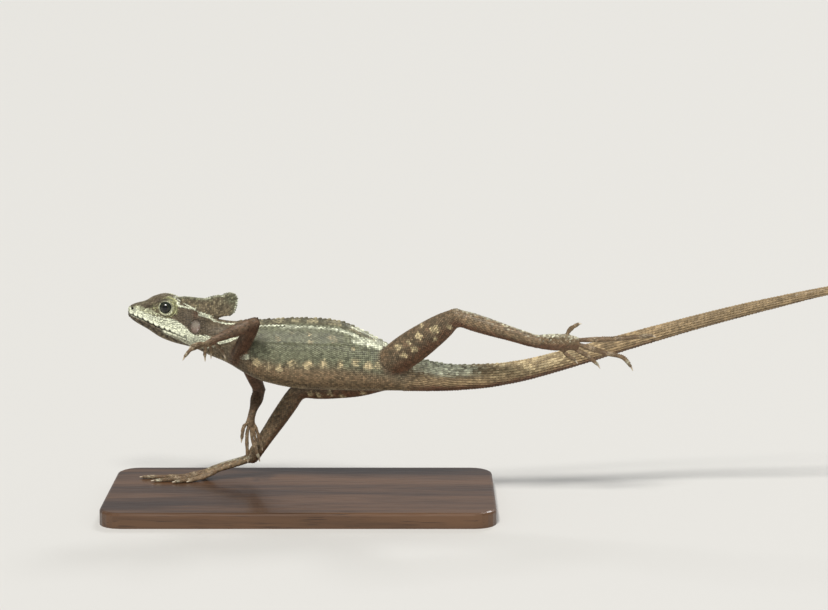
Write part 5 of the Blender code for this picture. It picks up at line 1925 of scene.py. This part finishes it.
def grow_family(group):
    """Points, faces, crown values, map places, tones and marks of all scales of a family."""
    form, faces, crown = TEMPLATES[group["shape"]]
    count, each = len(group["at"]), len(form)
    up = unit(group["up"] + TILT * chance((count, 3)))
    lie = unit(group["lie"]) + TURN * chance((count, 3))
    lie = unit(lie - (lie * up).sum(axis=1, keepdims=True) * up)
    a, b, c = np.moveaxis(form * group["size"][:, None, :], -1, 0)[..., None]
    points = group["at"][:, None, :] + (
        a * lie[:, None, :] + b * np.cross(up, lie)[:, None, :] + c * up[:, None, :]
    )
    first = (np.arange(count) * each)[:, None, None]
    joined = [(f + first).reshape(-1, f.shape[1]) for f in faces]
    chart = np.clip(group["chart"], 0.002, 0.998)[:, None, :] + PATCH * 0.45 * form[None, :, :2]
    tone = np.repeat(dice.uniform(0, 1, count), each)
    marks = np.repeat(marks_at(group["at"]), each, axis=0)
    return points.reshape(-1, 3), joined, np.tile(crown, count), chart.reshape(-1, 2), tone, marks


def grow_shield(points, faces, crown):
    """The same for a lip shield, whose points are at their places already."""
    flat = points[:, [0, 2]]
    x, z = flat.mean(axis=0)
    side = np.sign(points[:, 1].mean())
    chart = np.clip(face_chart(x, z, side), 0.01, 0.99) + (flat - (x, z)) * PATCH / 2.5
    return points, faces, crown, chart, np.full(len(points), dice.uniform(0.35, 0.75)), marks_at(points)


def join(parts):
    """One set of arrays from several, each with points, faces and values for its points. Faces
    are counted on, and sorted by their number of corners."""
    points, faces, *values = zip(*parts)
    first = np.cumsum([0, *map(len, points)])
    sorts = {}
    for start, kinds in zip(first, faces):
        for f in kinds:
            sorts.setdefault(f.shape[1], []).append(f + start)
    joined = [np.concatenate(sorts[size]) for size in sorted(sorts)]
    return np.concatenate(points), joined, *(np.concatenate(v) for v in values)


def set_values(mesh, name, kind, values):
    """Values for each point of a mesh, under a name that a material reads."""
    layer = mesh.attributes.new(name, kind, "POINT")
    key = "color" if kind == "FLOAT_COLOR" else "value"
    layer.data.foreach_set(key, np.ascontiguousarray(values, dtype=np.float32).ravel())


def dress(obj, masks, crown, tone):
    """Gives a mesh the values that the finish reads at each point."""
    set_values(obj.data, "marks_a", "FLOAT_COLOR", masks[:, :4])
    set_values(obj.data, "marks_b", "FLOAT_COLOR", masks[:, 4:])
    set_values(obj.data, "crown", "FLOAT", crown)
    set_values(obj.data, "grain", "FLOAT", tone)


def wear(obj, material):
    """Shades a finished piece smooth, gives it its material, and hangs it under the model's root."""
    obj.data.shade_smooth()
    obj.data.materials.append(material)
    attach(obj, "root")


def coat_piece(name, groups, shields=()):
    """One piece of the coat from families of scales, and shields that are already points."""
    parts = [grow_family(group) for group in groups if len(group["at"])]
    parts += [grow_shield(*s) for s in shields]
    points, faces, crown, chart, tone, masks = join(parts)
    obj = put_object(name, points, faces)
    dress(obj, masks, crown, tone)
    corner = np.concatenate([f.ravel() for f in faces])
    layer = obj.data.uv_layers.new(name="OFBake")
    layer.uv.foreach_set("vector", chart[corner].astype(np.float32).ravel())
    wear(obj, scale_finish)
    obj.data.set_sharp_from_angle(angle=SHARP_ANGLE)
    triangles = sum(len(f) * (f.shape[1] - 2) for f in faces)
    print(name, triangles, "triangles")
    return triangles


def side_of(group, side):
    """The scales of a family on one side of the middle plane."""
    return only(group, (group["at"][:, 1] < ease(group["at"][:, 0], TAIL_SWING)) == (side < 0))


def charted(group, start, end, folded=False):
    """The same scales, with their unwrap spread over the whole map, and folded for one side."""
    along, angle = (group["at"][:, 0] - start) / (end - start), group["chart"][:, 1]
    if folded:
        angle = np.where(angle > 0.5, 1 - angle, angle) * 2
    return dict(group, chart=columns(along, angle))


on_front = tail_scales["at"][:, 0] < TAIL_PARTED_X
triangles = [
    coat_piece("coat_head", [charted(head_scales, SNOUT_X, HEAD_END), *face_groups], shields),
    coat_piece("coat_crest", crest_scales),
]
for side_name, side in SIDES.items():
    groups = [charted(side_of(group, side), -42, VENT_X, True) for group in (torso_scales, neck_scales)]
    triangles.append(coat_piece("coat_body_" + side_name, groups))
triangles += [
    coat_piece("coat_tail_front", [charted(only(tail_scales, on_front), 44, 166)]),
    coat_piece("coat_tail_rear", [charted(only(tail_scales, ~on_front), 164, 367)]),
    coat_piece("coat_ridge", ridges),
]
for name, groups in limb_families.items():
    triangles.append(coat_piece("coat_" + name, groups))
print("coat in all", sum(triangles), "triangles")

# %% [markdown]
# ## The skin under the coat
#
# The skin carries the same marks, at an even crown value near that of a groove, so it takes the
# painted shade of a groove. It takes the place of all flesh nodes of the solid model.

# %% The skin's own values
# Crown value of the bare skin: low, so the skin gets the painted groove shade
SKIN_CROWN = 0.16
SKIN_TONE = 0.45
count = len(skin_points)
skin.name = skin.data.name = "skin"
dress(skin, marks_at(skin_points), np.full(count, SKIN_CROWN), np.full(count, SKIN_TONE))
skin.data.materials.clear()
wear(skin, skin_finish)
flesh = [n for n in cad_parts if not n.startswith(("stand", "eye"))]
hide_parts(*flesh)
print("skin replaces", len(flesh), "nodes")

# %% [markdown]
# ## Eyes
#
# The eye is a globe whose front bulges a little, as the cornea does. Each point knows its
# angle from the line of sight. That angle chooses the colour: black pupil, a thin bright ring,
# then a dark olive iris with fine fibres. A clear coat gives the wet gloss.

# %% Eyes
LINE_OF_SIGHT = (-0.12, 1.0, 0.10)
EYE_RINGS = 56
AROUND_EYE = 72
# Colours by the angle from the line of sight, in radians
IRIS_STOPS = (
    (0.0, (0.003, 0.003, 0.003)), (0.38, (0.003, 0.003, 0.003)), (0.41, (0.07, 0.055, 0.022)),
    (0.45, (0.012, 0.014, 0.008)), (0.70, (0.016, 0.021, 0.012)), (0.82, (0.004, 0.004, 0.004)),
)


def eye_globe(name, side):
    """A globe about the line of sight: polar angle times turn, plus a bulge near the front."""
    centre, sight = mirrored(EYE_AT, side), unit(mirrored(LINE_OF_SIGHT, side))
    first = unit(np.cross(sight, (0, 0, 1.0)))
    second = np.cross(sight, first)
    polar, turn = np.linspace(0.02, math.pi - 0.02, EYE_RINGS)[:, None], around(AROUND_EYE)[None, :]
    radius = EYE_RADIUS - 0.05 + 0.14 * hill(polar, 0.5)
    ahead, out = radius * np.cos(polar) + 0 * turn, radius * np.sin(polar)
    over, beside = out * np.cos(turn), out * np.sin(turn)
    rings = centre + (ahead[..., None] * sight + over[..., None] * first + beside[..., None] * second)
    poles = centre + np.array([[EYE_RADIUS + 0.09], [0.05 - EYE_RADIUS]]) * sight
    eye = put_object(name, *shell(rings, poles))
    turns = np.append(np.tile(turn[0], EYE_RINGS), (0.0, 0.0))
    from_sight = np.append(np.repeat(polar[:, 0], AROUND_EYE), (0.0, math.pi))
    set_values(eye.data, "from_sight", "FLOAT", from_sight)
    set_values(eye.data, "turn", "FLOAT_COLOR", columns(np.cos(turns), np.sin(turns), 0.0, 1.0))
    return eye


def eye_material():
    """Rings of colour by the angle, with fibres that waver round the eye."""
    material, tree, shader = new_material(
        "wet eye", Roughness=0.2, Specular_IOR_Level=0.15, Coat_Weight=0.7, Coat_Roughness=0.02
    )
    angle, turn = value_of(tree, "from_sight"), value_of(tree, "turn", "Vector")
    fibre = add(tree, "ShaderNodeTexNoise", Scale=9.0, Detail=3.0, Vector=turn).outputs["Fac"]
    uneven = calc(tree, "MULTIPLY_ADD", off_half(tree, fibre), 0.05, angle)
    ramp = add(tree, "ShaderNodeValToRGB", Fac=uneven)
    elements = ramp.color_ramp.elements
    elements[0].position, elements[1].position = IRIS_STOPS[0][0], IRIS_STOPS[-1][0]
    for position, _ in IRIS_STOPS[1:-1]:
        elements.new(position)
    for element, (_, colour) in zip(elements, IRIS_STOPS):
        element.color = (*colour, 1.0)
    streak = spread(tree, fibre, 0.3, 0.7, 0.55, 1.5)
    feed(tree, shader.inputs["Base Color"], shaded(tree, ramp.outputs[0], streak))
    return material


wet_eye = eye_material()
for side_name, side in SIDES.items():
    eye = eye_globe("eyeball_" + side_name, side)
    wear(eye, wet_eye)
    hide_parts("eye_" + side_name)
print("eyes of", len(eye.data.vertices), "points each")

# %% [markdown]
# ## Ear drums and claws
#
# The drum is a thin skin stretched over the ear, a little sunk in its middle. A claw is a cone
# along a curve that droops, with a fine tip.

# %% Ear drums and claws
DRUM_RINGS = 12
AROUND_DRUM = 40
DRUM_THICK = 0.35
CLAW_RINGS = 10
AROUND_CLAW = 12


def ear_drum(side):
    """Points and faces of one drum: a disc sunk by the square of its radius, and its back."""
    share, turn = np.linspace(0.06, 1.0, DRUM_RINGS)[:, None], around(AROUND_DRUM)[None, :]
    x = EAR_AT[0] + 0.99 * EAR_SIZE[0] * share * np.cos(turn)
    z = EAR_AT[2] + 0.99 * EAR_SIZE[2] * share * np.sin(turn)
    depth = side_at(x, z, -COAT_DEPTH) - 0.16 - 0.42 * (1 - share ** 2)
    front, back = columns(x, side * depth, z), columns(x, side * (depth - DRUM_THICK), z)[::-1]
    middle = mirrored((EAR_AT[0], depth[0].mean(), EAR_AT[2]), side)
    return shell(np.concatenate([front, back]), [middle, middle - (0, side * DRUM_THICK, 0)])


def claw(limb, digit):
    """Points and faces of a claw, and how near each point is to the tip. Its base sits in the
    last ring of the digit."""
    along, way = np.linspace(0, 1, CLAW_RINGS), digit["way"]
    curl = limb["droop"] * (along ** 2)[:, None] * np.array((0.0, 0.0, -1.0))
    centres = digit["centres"][-1] - 0.45 * way + CLAW_LENGTH * 1.04 * along[:, None] * way + curl
    radius = 0.96 * CLAW_RADIUS * np.sqrt(1 - 0.97 * along ** 1.6)
    rings = tube_at(centres, radius, around(AROUND_CLAW))
    points, faces = shell(rings, [centres[0] - 0.1 * way, centres[-1] + 0.04 * way])
    return points, faces, np.append(np.repeat(along, AROUND_CLAW), (0.0, 1.0))


def claw_material():
    """Horn that is paler at the tip, with fine streaks."""
    material, tree, shader = new_material("claw horn", Coat_Weight=0.3, Coat_Roughness=0.2)
    tip, streaks = value_of(tree, "to_tip"), noise(tree, 900.0, 3.0)
    shade = calc(tree, "MULTIPLY_ADD", off_half(tree, streaks), 0.5, tip)
    share = spread(tree, shade, 0.15, 0.95, 0.0, 1.0)
    colour = mix(tree, share, (0.30, 0.21, 0.13, 1), (0.62, 0.54, 0.40, 1))
    surface(tree, shader, colour, spread(tree, streaks, 0.3, 0.7, 0.25, 0.42), streaks, 0.25, 0.00008)
    return material


def drum_material():
    """Thin skin: pale in the middle, with flecks and veins, and reddish below."""
    material, tree, shader = new_material("thin ear skin", Specular_IOR_Level=0.3, Coat_Weight=0.05)
    place = add(tree, "ShaderNodeTexCoord").outputs["Object"]
    apart = add(tree, "ShaderNodeSeparateXYZ", Vector=place).outputs
    far = [
        calc(tree, "MULTIPLY", calc(tree, "SUBTRACT", apart[k], EAR_AT[k] * MM), 1 / (EAR_SIZE[k] * MM))
        for k in (0, 2)
    ]
    squares = [calc(tree, "MULTIPLY", value, value) for value in far]
    from_middle = calc(tree, "SQRT", calc(tree, "ADD", *squares))
    veins = noise(tree, 1300.0, 3.0)
    ragged = calc(tree, "MULTIPLY_ADD", off_half(tree, veins), 0.4, from_middle)
    ragged = spread(tree, ragged, 0.3, 1.0, 0.0, 1.0)
    colour = mix(tree, ragged, (0.21, 0.18, 0.14, 1), (0.085, 0.06, 0.043, 1))
    flecks = spread(tree, noise(tree, 2200.0, 3.0), 0.46, 0.7, 0.0, 0.5)
    colour = mix(tree, flecks, colour, (0.36, 0.33, 0.27, 1))
    lower = spread(tree, apart[2], (EAR_AT[2] + 1.0) * MM, (EAR_AT[2] - 1.6) * MM, 0.0, 1.0)
    colour = mix(tree, calc(tree, "MULTIPLY", lower, 0.4), colour, (0.17, 0.085, 0.06, 1))
    surface(tree, shader, colour, spread(tree, veins, 0.3, 0.7, 0.45, 0.65), veins, 0.5, 0.00015)
    return material


horn = claw_material()
wear(put_object("ear_drums", *join([ear_drum(side) for side in SIDES.values()])), drum_material())
for name, limb in LIMBS.items():
    points, faces, tips = join([claw(limb, toe) for toe in limb["toes"]])
    claws = put_object("claws_" + name, points, faces)
    set_values(claws.data, "to_tip", "FLOAT", tips)
    wear(claws, horn)
print("two ear drums and", sum(len(limb["toes"]) for limb in LIMBS.values()), "claws")

# %% [markdown]
# ## The base
#
# The base is the solid model's own node: dark wood with a satin varnish. The grain is noise
# stretched along the board, and finer pores cross it.

# %% Wood of the base


def wood_material():
    """Two noises stretched along the board: broad grain and fine pores."""
    material, tree, shader = new_material(
        "varnished dark wood", Specular_IOR_Level=0.35, Coat_Weight=0.25, Coat_Roughness=0.12
    )
    place = add(tree, "ShaderNodeTexCoord").outputs["Object"]

    def stretched(scale, **settings):
        """Noise on Object coordinates, with its own scale for each axis."""
        turn = add(tree, "ShaderNodeMapping", Vector=place, Scale=scale)
        return add(tree, "ShaderNodeTexNoise", Scale=1.0, Vector=turn.outputs[0], **settings).outputs["Fac"]

    ring = stretched((6.0, 75.0, 75.0), Detail=6.0, Roughness=0.6, Distortion=0.6)
    pores = stretched((60.0, 1400.0, 1400.0), Detail=2.0)
    share = spread(tree, ring, 0.32, 0.68, 0.0, 1.0)
    colour = mix(tree, share, (0.035, 0.017, 0.009, 1), (0.13, 0.066, 0.032, 1))
    colour = mix(tree, spread(tree, pores, 0.58, 0.72, 0.0, 0.6), colour, (0.02, 0.01, 0.006, 1))
    surface(tree, shader, colour, spread(tree, pores, 0.3, 0.7, 0.3, 0.45), pores, 0.25, 0.0002)
    return material


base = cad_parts["stand_base"]
base.data.materials.clear()
base.data.materials.append(wood_material())
print("the base is", base.data.materials[0].name)

# %% [markdown]
# ## Floor and light
#
# A pale floor reaches far behind the animal, so no horizon shows. The photograph was lit by a
# flash beside the camera. A broad sun, high on the camera's side, gives the same modelling with
# soft shadows, and lights the whole floor evenly. A weak one from behind draws the outline.

# %% Stage and lamps
# Name, place in mm, colour, energy and angle in degrees
LAMPS = (
    ("key", (-150, -620, 1000), (1.0, 0.98, 0.95), 2.5, 10),
    ("second key", (190, -700, 880), (1.0, 0.98, 0.95), 0.7, 8),
    ("rim", (350, 800, 900), (0.97, 0.98, 1.0), 0.6, 14),
)


def lay_floor():
    """A level sheet of floor, a grid of 12 by 12 squares of 2.5 m."""
    x, y = np.meshgrid(*[np.linspace(-15000.0, 15000.0, 13)] * 2, indexing="ij")
    index = np.arange(x.size).reshape(x.shape)
    floor = put_object("floor", columns(x, y, 0.0).reshape(-1, 3), [grid_quads(index, turned=True)])
    material, _, shader = new_material("pale floor", Roughness=0.8)
    shader.inputs["Base Color"].default_value = (0.66, 0.65, 0.62, 1)
    floor.data.materials.append(material)


lay_floor()
for name, place, colour, energy, angle in LAMPS:
    light = bpy.data.lights.new(name, "SUN")
    light.color, light.energy, light.angle = colour, energy, math.radians(angle)
    lamp = bpy.data.objects.new(name, light)
    scene.collection.objects.link(lamp)
    lamp.location = Vector(place) * MM
    lamp.rotation_euler = (LOOK_AT - Vector(place)).to_track_quat("-Z", "Y").to_euler()
world = scene.world = bpy.data.worlds.new("studio")
world.use_nodes = True
sky = world.node_tree.nodes["Background"]
sky.inputs[0].default_value = (0.96, 0.98, 1.0, 1.0)
sky.inputs[1].default_value = 0.32
scene.view_settings.view_transform = "Standard"
print(len(LAMPS), "lamps")
